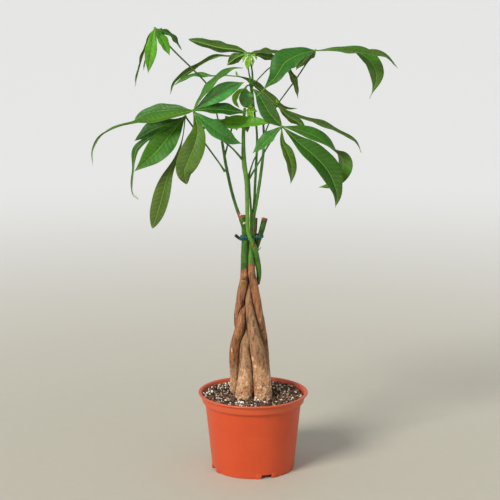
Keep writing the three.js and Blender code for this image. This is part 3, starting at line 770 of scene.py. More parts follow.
@dataclass(frozen=True)
class LeafSide:
    """One side of a blade. Paint: the shares of a leaflet's tone.

    Of the mesh's measures, `vein` counts the side veins along the blade, `rib` is the distance from the
    midrib, in millimetres, and `edge` runs from 0 at the midrib to 1 at the margin.
    """

    name: str
    deep: Rgba
    fresh: Rgba
    olive: Rgba
    cool: Rgba
    vein: Rgba
    vein_share: float
    midrib_width: float
    gloss: float
    relief: float
    midrib_share: float = 0.6
    margin_share: float = 0.3
    net_share: float = 0.35
    spotted: float = 0.06
    cloud_scale: float = 38
    net_scale: float = 620
    spot_scale: float = 260
    net_depth: float = 0.00022
    vein_depth: float = 0.0003

    def make(self) -> bpy.types.Material:
        """Returns the material."""
        g = Graph(self.name)
        own = g.place()
        fresh, olive, cool = g.paints()
        clouds = g.noise(own, self.cloud_scale, 4, 0.6)
        colour = g.mix(fresh, self.deep, self.fresh)
        colour = g.mix(olive, colour, self.olive)
        # The cool blue-green share is partly the leaflet's own tint and partly a painted sheen.
        colour = g.mix(cool, colour, self.cool)
        colour = g.shade(colour, clouds, 0.82, 1.2)
        beside = g.math("PINGPONG", g.measure("vein"), 0.5)
        from_rib = g.math("ABSOLUTE", g.measure("rib"))
        inside = g.span(g.measure("edge"), 1.0, 0.86)
        line = g.times(g.span(beside, 0.085, 0.0), inside)
        panel = g.span(beside, 0.0, 0.5)
        colour = g.shade(colour, g.math("ADD", g.times(panel, 0.5), 0.25), 1.04, 0.95)
        colour = g.cover(colour, line, self.vein_share, self.vein)
        net = g.cells(own, self.net_scale)
        netting = g.span(net, 0.10, 0.0)
        colour = g.cover(colour, netting, self.vein_share * self.net_share, self.vein)
        midrib = g.span(from_rib, self.midrib_width, self.midrib_width * 0.45)
        colour = g.cover(colour, midrib, self.midrib_share, self.vein)
        margin = g.span(g.measure("edge"), 0.93, 1.0)
        colour = g.cover(colour, margin, self.margin_share, self.vein)
        spots = g.span(g.noise(own, self.spot_scale, 3, 0.6), 0.7, 0.78)
        colour = g.cover(colour, spots, self.spotted, self.olive)
        rough = g.math("ADD", g.span(clouds, 0.2, 0.8, self.gloss, self.gloss + 0.1),
                       g.times(netting, 0.08))
        fine = g.bump(net, self.net_depth)
        height = g.math("MAXIMUM", line, midrib)
        normal = g.bump(g.times(height, -self.relief), self.vein_depth, fine)
        return g.done(colour, rough, normal, Subsurface_Weight=0.05, Subsurface_Scale=0.002,
                      Specular_IOR_Level=0.26)


LEAF_UPPER = LeafSide(
    name="leaf_upper",
    deep=srgb(32, 84, 6),
    fresh=srgb(82, 160, 10),
    olive=srgb(72, 98, 24),
    cool=srgb(66, 142, 62),
    vein=srgb(134, 176, 74),
    vein_share=0.12,
    midrib_width=0.85,
    gloss=0.38,
    relief=1.0,
)
# Young leaflets are a paler yellow-green of their own, set lighter still as painted light where they lie in
# shade.
LEAF_YOUNG = LeafSide(
    name="leaf_young",
    deep=srgb(80, 136, 18),
    fresh=srgb(112, 170, 22),
    olive=srgb(124, 156, 36),
    cool=srgb(80, 150, 50),
    vein=srgb(152, 190, 80),
    vein_share=0.12,
    midrib_width=0.5,
    gloss=0.42,
    relief=1.0,
)
LEAF_UNDER = LeafSide(
    name="leaf_under",
    deep=srgb(56, 90, 32),
    fresh=srgb(92, 142, 42),
    olive=srgb(84, 108, 46),
    cool=srgb(76, 116, 62),
    vein=srgb(132, 162, 84),
    vein_share=0.18,
    midrib_width=1.1,
    gloss=0.5,
    relief=-1.0,
)


# ---------------------------------------------------------------- plans of what grew


@dataclass(frozen=True)
class Leaflet:
    """One blade of a compound leaf.

    `rib` holds the midrib's points after the hub. `face` is the way the upper side looks, or that at the
    hub and at the tip. `widest` is where along the midrib it is widest, `drip` how fast it narrows beyond
    that, `fold` how far its halves fold up, in degrees, and `wave` the height of its margins' waves.
    """

    tone: Tone
    rib: tuple[Point, ...]
    width: float
    face: Point | tuple[Point, Point] = UP
    widest: float = 0.52
    drip: float = 1.2
    fold: float = 14
    wave: float = 1.3


@dataclass(frozen=True)
class LeafPlan:
    """A compound leaf: the petiole from its foot to the hub, the swelling there and its leaflets."""

    petiole: tuple[Point, ...]
    leaflets: tuple[Leaflet, ...]
    radius: float = 1.2
    hub: float = 2.1


# Stations (x, y, z, radius) of the five woody trunks, from the foot up, in millimetres. The two in front
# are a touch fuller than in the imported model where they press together.
TRUNKS: dict[str, Stations] = {
    "trunk_front_right": (
        (18, -24, 78, 9), (17, -25, 96, 12), (15.6, -25, 112, 12.9), (14.2, -25, 126, 13),
        (12.8, -24.5, 145, 12.6), (10.5, -23.5, 163, 12), (7.4, -22, 183, 11), (2.8, -19.5, 203, 9.3),
        (-0.8, -16, 222, 8), (-3.8, -12, 241, 6.7), (-5.8, -6, 259, 5.9), (-6.6, 0, 279, 5.2),
        (-4.5, 5, 298, 4.6),
    ),
    "trunk_front_left": (
        (-15, -20, 76, 8.5), (-15, -22.5, 96, 12.2), (-14.4, -23.5, 112, 12.8), (-12.8, -23.5, 126, 12.2),
        (-11.1, -22.5, 148, 10.8), (-10.7, -19, 168, 9.7), (-11, -13, 186, 8.5), (-10, -5, 204, 7),
        (-7.6, 3, 222, 6.3), (-5, 10, 240, 5.7), (-3.5, 15, 260, 5.2), (-3, 15, 280, 4.7),
        (-1, 14, 300, 4), (0, 12.5, 325, 3.4), (2, 9.5, 350, 2.9),
    ),
    "trunk_left": (
        (-27, 10, 78, 7), (-27, 9, 98, 9), (-26.8, 8, 116, 8.2), (-27.1, 6, 135, 7.5), (-27.6, 4, 155, 8),
        (-27.6, 0, 177, 8.2), (-25.3, -4, 196, 7.7), (-21.4, -8, 211, 7.4), (-18.5, -8.5, 225, 6.9),
        (-14.3, -4, 240, 6.3), (-9, 3.5, 252, 5.8), (-3, 8.5, 264, 5.3), (4, 8, 279, 4.6),
    ),
    "trunk_back": (
        (-7, 22, 76, 7), (-7, 23, 96, 9.6), (-7.5, 23.5, 112, 9.8), (-9, 23, 135, 9), (-12, 21, 160, 8.3),
        (-16, 17, 185, 7.4), (-20.5, 11.5, 208, 6.7), (-22.4, 7, 226, 6.4), (-21.8, 3, 240, 6.3),
        (-19.8, 0.5, 253, 6.8), (-17.7, -2.5, 266, 7), (-15.3, -4, 280, 6.7), (-13.2, -4.5, 293, 6.1),
        (-13.2, -4.5, 305, 5.3),
    ),
    "trunk_right": (
        (18, 14, 76, 7.5), (18.5, 14.5, 96, 9.8), (18.6, 14, 112, 10), (18, 12.5, 135, 8.6),
        (17.2, 10, 160, 7.6), (16.2, 6, 183, 6.9), (14.6, 0, 203, 6.4), (11.8, -5.5, 222, 6.2),
        (8.8, -9, 240, 6.1), (5.6, -10, 260, 6.1), (2, -9.5, 280, 6), (-1.7, -8, 300, 5.2),
        (-2.9, -7, 312, 4.8),
    ),
}

# The limbs of each green top and of what grows from it, in millimetres, from the foot up.
SHOOTS: dict[str, tuple[Stations, ...]] = {
    "shoot_left": (
        (
            (-13.2, -4.5, 305.5, 5.4), (-13, -4.4, 322, 5.4), (-12.4, -3.5, 340, 5.2),
            (-12.1, -2.6, 356, 4.9), (-13, -3, 370, 4.5), (-15.6, -3.4, 381, 5.4), (-16.6, -3.4, 387, 5.2),
        ),
        (
            (-18, -3.4, 382, 2.8), (-21.8, -3, 391, 2.5), (-26, -2.2, 403, 2.3), (-31.5, -0.8, 422, 2.2),
            (-36, 0.6, 442, 2.3), (-40.3, 2, 463, 2.2), (-43, 3, 480, 2.1), (-45.5, 4, 495, 1.9),
        ),
    ),
    "shoot_front": (
        (
            (7.6, 3.2, 284, 2.4), (8.6, 1.2, 296, 3.6), (7.8, -1, 309, 4.1), (5.6, -3.2, 322, 4.3),
            (3, -5.6, 335, 4.2), (0, -8.6, 345, 4),
        ),
        (
            (0.2, -8.8, 343, 2.9), (-3, -11.8, 352, 2.8), (-6.8, -12.6, 361, 2.8), (-8.4, -12.4, 373, 2.8),
            (-8.7, -12, 398, 2.9), (-9.2, -11.6, 425, 3), (-10.2, -11.2, 443, 3.2), (-12.8, -11, 462, 3.6),
            (-14, -10.8, 480, 3.2), (-14.3, -10.4, 505, 2.6), (-13.5, -9.8, 530, 2.3),
            (-12.4, -9.2, 546, 1.9),
        ),
    ),
    "shoot_centre": (
        (
            (-3.1, -6.8, 312.5, 4.9), (-3.4, -5.4, 322, 5), (-3.2, -1.6, 335, 4.9), (-2.2, 0, 350, 4.6),
            (-0.8, 1, 366, 4.3), (-1, 1, 380, 4.6), (-0.6, 0.6, 392, 4.1),
        ),
        (
            (-2.6, 0, 386, 2), (-3.6, -2, 400, 1.7), (-5, -4, 422, 1.5), (-6.4, -5.4, 443, 1.6),
            (-6.6, -5.8, 448, 1.5),
        ),
        (
            (-0.6, 1, 386, 2.6), (1.4, 1.6, 400, 2.2), (2.5, 2, 425, 2), (3.9, 2.8, 455, 1.9),
            (5.4, 3.6, 485, 1.7), (5.3, 4.4, 508, 1.6), (3.5, 5, 525, 1.5), (0.6, 6, 548, 1.7),
            (-2.4, 6.4, 572, 2.4), (-2.6, 6.4, 584, 4.2),
        ),
        (
            (0.6, 0, 386, 2.6), (4, -0.4, 402, 2.4), (7.6, -0.6, 424, 2.3), (11.4, 0, 450, 2.2),
            (14.6, 1.4, 478, 2), (15.6, 2.8, 502, 1.8), (14.6, 4, 523, 1.6),
        ),
    ),
    "cut_stub": (
        (
            (-4, 6.4, 300, 4.3), (-0.5, 7.4, 318, 4), (5, 6.4, 338, 3.6), (8.4, 3.6, 350, 3.7),
            (12, 2.4, 362, 4.1), (17, 1.6, 382, 4.4),
        ),
    ),
    "dry_stub": (
        (
            (2, 9.5, 351, 2.6), (3.4, 8, 364, 2.2), (4.6, 7, 377, 1.7), (5, 6.6, 381.5, 1.6),
        ),
    ),
}

# The wood that each green top grows from.
GROWS_FROM: dict[str, str] = {
    "shoot_left": "trunk_back",
    "shoot_front": "trunk_left",
    "shoot_centre": "trunk_right",
    "cut_stub": "trunk_front_right",
    "dry_stub": "trunk_front_left",
}

# Corky places (x, y, z, radius) on the green stems: their feet, old leaf scars and cut ends.
SCARS: dict[str, tuple[Station, ...]] = {
    "shoot_left": ((-13.2, -4.5, 304, 9.5), (-17.4, -4.6, 387.6, 8.6), (-43.5, 3.2, 484, 3)),
    "shoot_front": ((7.6, 3.2, 282, 10), (0.6, -9.6, 344, 4.6), (-12.8, -11, 462, 4.2)),
    "shoot_centre": ((-3.1, -6.8, 311, 9.5), (0.6, -3.6, 366, 4.6), (3.6, -1, 388, 4)),
    "cut_stub": ((-4, 6.4, 299, 8), (17.6, 1.5, 386, 11)),
}

# Pale knobs at the left top, and a dark spine at the foot of the cut stub.
KNOBS: dict[str, tuple[Station, ...]] = {
    "shoot_left": ((-13.2, -7.2, 376.5, 2.5), (-18.6, -4.4, 388, 1.9)),
}
SPINES: dict[str, Stations] = {
    "cut_stub": ((6.6, 4.4, 332.6, 0.7), (9.2, 2.6, 335.4, 0.55), (11.9, 2, 338.6, 0.25)),
}

# Bare places on the bark.
PEELS: dict[str, tuple[Spot, ...]] = {
    "trunk_front_left": (Spot((-15.7, -30, 159), (1.4, 9, 1.4)),),
    "trunk_front_right": (
        Spot((-1, -31, 176), (1.6, 9, 4)),
        Spot((2.7, -32, 165.6), (2.4, 9, 2.4)),
        Spot((21.9, -30, 143.7), (1.2, 12, 7)),
    ),
    "trunk_left": (Spot((-32, -6, 183.7), (1, 9, 4)),),
}

# The knuckle where the upper left trunk meets its neighbour, the crease under it and the green left there.
BURL = Vector((-11.4, -9.2, 298.8))
BURL_RADIUS = 8
BURL_RISE = 2.6
CREASE = Spot((-12.4, -10, 291), (5, 9, 1.1))
GREEN_PATCH = Spot((-13.8, -10.2, 286.4), (3.2, 8, 4.4))

LEAVES: dict[str, LeafPlan] = {
    "leaf_top_left": LeafPlan(
        petiole=(
            (-45.4, 4, 495), (-50, 6, 521), (-58, 5, 555), (-67, 5, 578.5), (-90, 9, 602.5),
            (-119, 17, 630.5), (-143, 22, 659),
        ),
        leaflets=(
            Leaflet(Tone.OLIVE, width=11, face=(-1, 0.1, 0.3),
                    rib=((-152, 18, 646), (-164, 12, 610), (-171, 8, 583), (-171.5, 6, 573))),
            Leaflet(Tone.BRIGHT, width=18, face=(0, -1, 0.2),
                    rib=((-146.5, 13, 638), (-150, 9, 614), (-152.5, 7, 595))),
            Leaflet(Tone.FRESH, width=12, face=(-1, 0.1, 0), rib=((-153, 30, 632), (-161.5, 32, 597))),
            Leaflet(Tone.FRESH, width=16, face=(0.4, -0.9, 0.5), rib=((-133, 18, 644), (-121, 12, 620))),
            Leaflet(Tone.DEEP, width=14, face=(0.6, -0.5, 0.8),
                    rib=((-121, 27, 648.5), (-104.5, 30, 627.5))),
            Leaflet(Tone.MID, width=14, face=(0, 1, 0.6), rib=((-138, 46, 651), (-133, 60, 628))),
        ),
    ),
    "leaf_left": LeafPlan(
        petiole=((-41.6, 0, 452), (-48, -4, 462.5), (-55, -7, 473), (-73, -13, 499), (-98, -22, 535.5)),
        leaflets=(
            Leaflet(Tone.DEEP, width=25, face=(0, -0.75, 0.7), widest=0.6,
                    rib=((-120, -26, 526), (-145, -28, 516.5), (-163, -29, 506), (-171, -29, 501))),
            Leaflet(
                Tone.DEEP, width=12, face=((0, -0.5, 0.9), (-1, -0.6, 0)), widest=0.42,
                rib=(
                    (-122, -32, 520), (-148, -37, 506), (-164, -38, 494), (-170, -38, 483),
                    (-172.5, -38, 460), (-175, -38, 439), (-174, -38, 424), (-166.5, -37, 417),
                ),
            ),
            Leaflet(Tone.VIVID, width=37, face=(0.1, -0.9, 0.5), widest=0.5,
                    rib=((-117, -34, 513), (-137, -44, 489), (-155, -50, 472.5), (-170, -54, 460))),
            Leaflet(
                Tone.OLIVE, width=27, face=(-0.3, -0.95, 0.2), widest=0.75, drip=0.75,
                rib=(
                    (-102, -24, 505), (-109, -27, 480), (-124.5, -30, 446), (-135.5, -33, 407),
                    (-142, -34.5, 387), (-146.5, -35, 374),
                ),
            ),
        ),
    ),
    "leaf_front_left": LeafPlan(
        petiole=((-16.2, -12.4, 472), (-30, -25, 489), (-45, -34, 503), (-62, -41, 520), (-86, -45, 546)),
        leaflets=(
            Leaflet(
                Tone.LIGHT, width=18, face=((0, -0.9, 0.8), (-0.6, 0.6, 0.8)), widest=0.3,
                rib=(
                    (-103, -50, 543), (-121, -53, 538.5), (-141, -56, 534), (-166, -57, 530.5),
                    (-191, -57, 525), (-216, -56, 512), (-229, -55, 490), (-229.5, -54, 469),
                ),
            ),
            Leaflet(
                Tone.COOL_GREY, width=21, face=(0, -0.75, 0.6),
                rib=(
                    (-111, -39, 547), (-140, -33, 543.5), (-156, -31, 540), (-167, -30, 534),
                    (-171.5, -30, 528),
                ),
            ),
            Leaflet(
                Tone.OLIVE_BRIGHT, width=34, face=(0.1, -0.95, 0.3), widest=0.56, drip=0.75,
                rib=(
                    (-79, -51, 520), (-83, -57, 499), (-92, -57, 478), (-99, -52, 459),
                    (-95.5, -46, 440.5),
                ),
            ),
            Leaflet(Tone.COOL, width=29, face=(0.2, -0.75, 0.65), widest=0.54,
                    rib=((-68, -50, 530), (-49, -48, 515.5), (-32, -40, 504), (-17, -30, 497))),
            Leaflet(Tone.DEEP, width=24, face=(0, -0.6, 0.7),
                    rib=((-66, -45, 548), (-46, -41, 547), (-26, -34, 544), (-9, -28, 541))),
            Leaflet(Tone.COOL_BRIGHT, width=24, face=(0.2, -0.9, 0.3), widest=0.56,
                    rib=((-56, -39, 565), (-38, -31, 575), (-24, -25, 580), (-13, -21, 584.5))),
            Leaflet(
                Tone.MID, width=20, face=(-0.6, -0.45, 0.6), widest=0.5,
                rib=(
                    (-75, -43, 562.5), (-63, -40, 577.5), (-47, -36, 593.5), (-30, -32, 604),
                    (-14.5, -28, 605.5),
                ),
            ),
        ),
    ),
    "leaf_top": LeafPlan(
        petiole=((-0.8, 6.6, 581), (-1.6, 6.8, 598), (-4, 6.8, 611), (-6, 7, 624)),
        leaflets=(
            Leaflet(Tone.MID, width=20, face=(0, 0.8, 0.6), widest=0.5, drip=0.62,
                    rib=((-26, 8, 629), (-46, 11, 631), (-75, 15, 638), (-94, 18, 643))),
            Leaflet(
                Tone.MID, width=17, face=((0, 0.2, 1), (-0.3, 0.5, 0.8)), widest=0.6,
                rib=(
                    (-30, 16, 619.5), (-56, 26, 617), (-91, 34, 597), (-115, 36, 580), (-122.5, 36, 561.5),
                ),
            ),
            Leaflet(Tone.MID, width=16, face=(0, 0.9, 0.3), widest=0.62,
                    rib=((-24, 13, 617), (-38, 17, 606))),
            Leaflet(Tone.OLIVE, width=19, face=(0, -0.35, 1),
                    rib=((15, 12, 625), (32, 16, 623.5), (50, 19, 619.5))),
            Leaflet(Tone.MID, width=16, face=(0, 0.7, 0.7),
                    rib=((12, 14, 620), (29, 18, 615), (45, 22, 607))),
        ),
    ),
    "young_leaf_top": LeafPlan(
        petiole=((-3.6, 3.2, 584), (-6.6, 1.8, 598), (-6.8, 0, 612), (-5, -2.4, 622)),
        radius=1,
        hub=1.8,
        leaflets=(
            Leaflet(Tone.YOUNG, width=5, face=(-0.5, -0.6, 0.5), rib=((-12, -4, 619.5), (-15.5, -5, 612))),
            Leaflet(Tone.YOUNG, width=9, face=(0, -1, 0.2), rib=((-7.6, -6, 612), (-8.6, -6, 601))),
            Leaflet(Tone.YOUNG, width=4, face=(0.4, -0.9, 0.2),
                    rib=((-0.8, -3.4, 616), (-0.8, -3.6, 605.5))),
            Leaflet(Tone.YOUNG, width=4, face=(0.6, -0.7, 0.6), rib=((2, -2, 621), (5.4, -2, 615))),
        ),
    ),
    "leaf_upper_back": LeafPlan(
        petiole=((-4.6, 8, 580.5), (-9, 6.4, 585), (-15, 3, 588.5), (-23, -1, 591.5)),
        radius=0.9,
        hub=1.8,
        leaflets=(
            Leaflet(
                Tone.OLIVE, width=19, face=(0, 0.5, 0.8), widest=0.6,
                rib=(
                    (-10, 13.5, 587), (3, 16, 578), (18, 16, 563.5), (34, 16, 548.5), (50, 16, 542.5),
                    (64.5, 16, 543),
                ),
            ),
            Leaflet(Tone.MID, width=13, face=(-0.2, -0.4, 0.9), widest=0.72,
                    rib=((-42, 7, 592), (-65, 14, 590.5), (-84, 20, 591), (-102, 21, 584.5),
                         (-116, 21, 576.5))),
            Leaflet(Tone.YOUNG, width=3, face=(0, -1, 0), rib=((-24, -1.6, 595), (-25, -2, 599))),
        ),
    ),
    "leaf_centre": LeafPlan(
        petiole=((-2.6, 4, 577.5), (-8, -3, 578), (-11, -6, 575)),
        radius=1,
        hub=1.8,
        leaflets=(
            Leaflet(Tone.COOL, width=23, face=(-0.3, -1, 0.2), widest=0.5,
                    rib=((-11, -9, 567), (-7.5, -10, 556), (1, -9, 546))),
            Leaflet(Tone.YOUNG, width=9, face=(-0.4, -1, 0.1),
                    rib=((-22, -8, 568), (-26.5, -9.4, 557), (-20, -9.6, 546))),
        ),
    ),
    "young_leaf_centre": LeafPlan(
        petiole=((-12.6, -9.6, 539), (-11, -12, 542), (-9.6, -14, 543)),
        radius=0.9,
        hub=1.6,
        leaflets=(
            Leaflet(Tone.YOUNG, width=5, face=(0.5, -0.8, 0.2), rib=((-6, -15, 546), (-3, -15, 553))),
            Leaflet(Tone.YOUNG, width=10, face=(0.2, -1, 0.2), rib=((-6, -15, 540), (-2, -15, 531))),
            Leaflet(Tone.YOUNG, width=6, face=(0, -1, 0.4), rib=((-2, -13, 545), (6, -11, 541))),
        ),
    ),
    "small_leaf_right": LeafPlan(
        petiole=(
            (-1, 7.6, 576.5), (4, 7.4, 582.5), (13, 7, 592.5), (23, 6, 602), (36, 5, 609), (46, 4, 611.5),
        ),
        radius=0.9,
        hub=1.8,
        leaflets=(
            Leaflet(Tone.OLIVE, width=11, face=(0.4, -0.7, 0.3),
                    rib=((53, 0.5, 597), (60, -2, 582), (65, -4, 559.5))),
            Leaflet(Tone.DEEP, width=8, rib=((56, 6, 606), (66, 8, 604.5))),
            Leaflet(Tone.DEEP, width=5, rib=((60, 8, 615), (68, 10, 613), (74.5, 11, 605))),
        ),
    ),
    "leaf_top_right": LeafPlan(
        petiole=(
            (-6.6, -4.4, 446.5), (0, -3.6, 467), (5, -3, 478), (20, -2, 516), (33, 1, 546), (49, 3, 569),
            (61, 4, 585), (75, 5, 606), (90, 6, 628),
        ),
        radius=1,
        leaflets=(
            Leaflet(
                Tone.MID, width=28, face=((0, 0, 1), (0.25, -1, 0.1)), widest=0.64, drip=2.4,
                rib=(
                    (118, 14, 630), (146, 21, 627.5), (168, 25, 614), (179, 26, 597), (180, 26.5, 583),
                    (177, 27, 571), (171, 27, 556),
                ),
            ),
            Leaflet(Tone.OLIVE, width=20, face=(0, -0.35, 1), widest=0.6,
                    rib=((112, 3, 628.5), (135, 0, 626.5), (165, -3, 624.5), (190, -5, 620),
                         (208.5, -5, 603))),
            Leaflet(
                Tone.RICH_COOL, width=38, face=((-0.2, -0.6, 0.9), (-0.3, -1, 0.2)), widest=0.44,
                drip=2.6, wave=2.4,
                rib=(
                    (75, -4, 625.5), (59, -10, 620), (45.5, -16, 612), (38, -22, 602), (31.5, -28, 592),
                    (21, -34, 582), (13, -38, 573.5), (5, -40, 566),
                ),
            ),
            Leaflet(Tone.MID, width=26, face=(0, 0.4, 1), rib=((80, 30, 618), (64, 62, 596))),
        ),
    ),
    "leaf_front_right": LeafPlan(
        petiole=(
            (-5.6, -6.6, 443), (3, -10, 458), (10, -12, 470), (17, -15, 484), (28, -22, 503),
            (41, -30, 522),
        ),
        leaflets=(
            Leaflet(Tone.PALE_OLIVE, width=24, face=(0, -0.7, 0.7), widest=0.62,
                    rib=((22, -29, 527), (0, -25, 527), (-22, -21, 525.5), (-42, -19, 524),
                         (-62, -18, 520))),
            Leaflet(Tone.DEEP, width=24, face=(-0.3, -0.9, 0.4), widest=0.42,
                    rib=((24, -27, 539.5), (16, -24, 553), (7, -20, 567), (-2, -17, 576))),
            Leaflet(Tone.COOL_MID, width=22, face=(-0.3, -0.8, 0.6), fold=24,
                    rib=((30, -33, 512), (14, -36, 497), (-1, -36, 484))),
            Leaflet(
                Tone.OLIVE_BRIGHT, width=18, face=(0.45, -0.9, 0.15), widest=0.58,
                rib=(
                    (41.5, -32, 500), (48, -34, 486.5), (54, -35, 470), (55.5, -35, 452), (54, -34, 438.5),
                ),
            ),
            Leaflet(
                Tone.RICH, width=39, face=(0.3, -0.85, 0.5), widest=0.54, fold=21,
                rib=(
                    (66.5, -37, 498), (90, -42, 478.5), (106.5, -45, 460), (116, -46, 440.5),
                    (120.5, -46, 424), (118.5, -45, 406.5),
                ),
            ),
            Leaflet(
                Tone.MID, width=36, face=((0.05, -1.1, 0.8), (0.3, 0.45, -0.1)), widest=0.52,
                rib=(
                    (56, -24, 518), (75, -18, 512), (98, -12, 501), (115, -8, 486.5), (128.5, -6, 474),
                    (132, -6, 460), (126, -8, 445), (113, -11, 434), (95.5, -14, 431),
                ),
            ),
        ),
    ),
    "leaf_right": LeafPlan(
        petiole=((14.8, 4, 520), (20, 4.4, 531), (28, 3.4, 540), (35, 5, 548)),
        radius=1,
        hub=1.8,
        leaflets=(
            Leaflet(
                Tone.OLIVE, width=19, face=(0.35, -0.3, 0.9),
                rib=(
                    (60, 5, 534), (84, 5, 526), (107, 6, 517.5), (130, 7, 506.5), (150, 8, 495),
                    (159, 8, 479),
                ),
            ),
            Leaflet(Tone.MID, width=16, face=(0, 0.8, 0.5),
                    rib=((52, 3, 532.5), (66, 2, 524), (78, 1, 512.5))),
            Leaflet(Tone.YOUNG, width=4, face=(0, -1, 0), rib=((35, 3, 552), (33, 2, 558))),
        ),
    ),
    "leaf_back": LeafPlan(
        petiole=((-42, 3.4, 474), (-38, 9, 488), (-34, 17, 503), (-30, 30, 520)),
        leaflets=(
            Leaflet(Tone.MID, width=26, rib=((-44, 58, 520), (-60, 94, 502))),
            Leaflet(Tone.DEEP, width=28, rib=((-29, 66, 522), (-25, 108, 500))),
            Leaflet(Tone.MID, width=22, rib=((-18, 56, 515), (-8, 84, 500))),
            Leaflet(Tone.MID, width=24, rib=((-54, 42, 520), (-80, 54, 505))),
        ),
    ),
}


# ---------------------------------------------------------------- pot and mix


@dataclass
class NurseryPot:
    """The thin plastic pot: rolled lip, deep collar, tapering body and drainage openings at its foot."""

    height: float = 118
    lip_radius: float = 82.5
    lip_height: float = 2.6
    lip_flare: float = 1.5
    collar_top_radius: float = 78.5
    collar_foot_radius: float = 76.5
    collar_foot: float = 104
    shoulder: float = 99.5
    shoulder_radius: float = 72
    foot_radius: float = 61.8
    wall: float = 1.4
    floor: float = 2.6
    foot_edge: float = 1.2
    inner_step: float = 0.7
    steps: int = 160
    openings: int = 4
    first_opening: float = -71
    opening_width: float = 15.5
    opening_height: float = 6
    opening_depth: float = 9
    block: Point = (1.3, 8, 8)
    block_proud: float = 0.85
    block_gap: float = 0.5
    block_lift: float = 0.2
    soft_edge: float = 0.45
    hem: float = 0.93
    rounded_over: float = math.radians(24)
    creased_over: float = math.radians(35)

    def inner_radius(self, z: float) -> float:
        """Returns the radius of the inner wall at a height."""
        if z > self.collar_foot:
            share = (z - self.collar_foot) / (self.height - self.collar_foot)
            return blend(self.collar_foot_radius, self.collar_top_radius, share) - self.wall
        return blend(self.foot_radius, self.shoulder_radius, z / self.shoulder) - self.wall

    def profile(self) -> list[tuple[float, float]]:
        """Returns the wall's outline, up the outside, over the lip and down the inside."""
        lip_foot = self.height - self.lip_height
        bead = self.lip_height / 2
        middle = (self.lip_radius - bead, self.height - bead)
        arc = [math.radians(angle) for angle in range(-75, 106, 20)]
        lip = [(middle[0] + bead * math.cos(a), middle[1] + bead * math.sin(a)) for a in arc]
        hem = (blend(self.foot_radius, self.shoulder_radius, self.hem), self.shoulder * self.hem)
        return [
            (0, 0),
            (self.foot_radius - self.foot_edge, 0),
            (self.foot_radius, self.foot_edge),
            hem,
            (self.shoulder_radius, self.shoulder),
            (self.collar_foot_radius, self.collar_foot),
            (self.collar_top_radius, lip_foot - self.lip_flare),
            *lip,
            (self.collar_top_radius - self.wall + 0.8, self.height - 0.6),
            (self.collar_top_radius - self.wall, self.height - 1.8),
            (self.collar_foot_radius - self.wall, self.collar_foot + self.inner_step),
            (self.shoulder_radius - self.wall, self.shoulder + self.inner_step),
            (self.inner_radius(self.floor + 1), self.floor + 1),
            (self.inner_radius(self.floor) - 1, self.floor),
            (0, self.floor),
        ]

    def soften(self, bm: bmesh.types.BMesh, offset: float) -> None:
        """Rounds the rings where the wall turns sharply."""
        sharp = [e for e in bm.edges if e.is_manifold and e.calc_face_angle(0) > self.rounded_over]
        bmesh.ops.bevel(bm, geom=sharp, offset=offset, segments=3, profile=0.5, affect="EDGES",
                        material=-1)

    def opening_turn(self, k: int) -> float:
        """Returns the angle round the pot at which an opening lies."""
        return math.radians(self.first_opening) + k * math.tau / self.openings

    def openings_cut(self) -> bpy.types.Object:
        """Returns the four boxes that are cut out of the foot."""
        bm = bmesh.new()
        size = Matrix.Diagonal((2 * self.opening_depth, self.opening_width, 2 * self.opening_height, 1))
        for k in range(self.openings):
            turn = Matrix.Rotation(self.opening_turn(k), 4, "Z")
            place = turn @ Matrix.Translation((self.foot_radius, 0, 0)) @ size
            bmesh.ops.create_cube(bm, size=1, matrix=place)
        bmesh.ops.scale(bm, vec=(MM, MM, MM), verts=bm.verts)
        return linked("openings", mesh_from(bm, "openings"))

    def add_blocks(self, bm: bmesh.types.BMesh) -> None:
        """Adds the raised block on each side of each opening."""
        deep, wide, tall = self.block
        out = self.foot_radius - deep / 2 + self.block_proud
        shift = Matrix.Translation((out, 0, tall / 2 + self.block_lift))
        size = Matrix.Diagonal((deep, wide, tall, 1))
        for k in range(self.openings):
            for hand in (-1, 1):
                aside = hand * (self.opening_width / 2 + wide / 2 + self.block_gap)
                angle = self.opening_turn(k) + math.asin(aside / self.foot_radius)
                place = Matrix.Scale(MM, 4) @ Matrix.Rotation(angle, 4, "Z") @ shift
                made = bmesh.ops.create_cube(bm, size=1, matrix=place @ size)
                edges = {edge for vert in made["verts"] for edge in vert.link_edges}
                bmesh.ops.bevel(bm, geom=list(edges), offset=self.soft_edge * MM, segments=2,
                                profile=0.5, affect="EDGES", material=-1)

    def build(self, plastic: bpy.types.Material) -> bpy.types.Object:
        """Builds the pot.

        Args:
            plastic: its finish.

        Returns:
            The piece.
        """
        blank = Blank()
        blank.turned(self.profile(), self.steps)
        self.soften(blank.bm, self.soft_edge)
        piece = blank.finished("pot_shell", [plastic], "pot")
        cutter = self.openings_cut()
        cut = piece.modifiers.new("openings", "BOOLEAN")
        cut.operation = "DIFFERENCE"
        cut.solver = "EXACT"
        cut.object = cutter
        whole = piece.evaluated_get(bpy.context.evaluated_depsgraph_get())
        mesh = bpy.data.meshes.new_from_object(whole)
        piece.modifiers.clear()
        bpy.data.objects.remove(cutter)
        bm = bmesh.new()
        bm.from_mesh(mesh)
        self.add_blocks(bm)
        dress(bm.faces, 0)
        for edge in bm.edges:
            edge.smooth = not edge.is_manifold or edge.calc_face_angle(0) < self.creased_over
        bm.to_mesh(piece.data)
        bm.free()
        return piece


@dataclass(frozen=True)
class Crumb:
    """A kind of loose grain: half its length, and its other half sizes as shares of that."""

    material: int
    length: tuple[float, float]
    width: tuple[float, float]
    height: tuple[float, float]
    power: float = 1.0

    def drawn(self, draw: random.Random) -> Vector:
        """Returns the half sizes of one such grain."""
        size = blend(*self.length, draw.random() ** self.power)
        return Vector((size, size * draw.uniform(*self.width), size * draw.uniform(*self.height)))


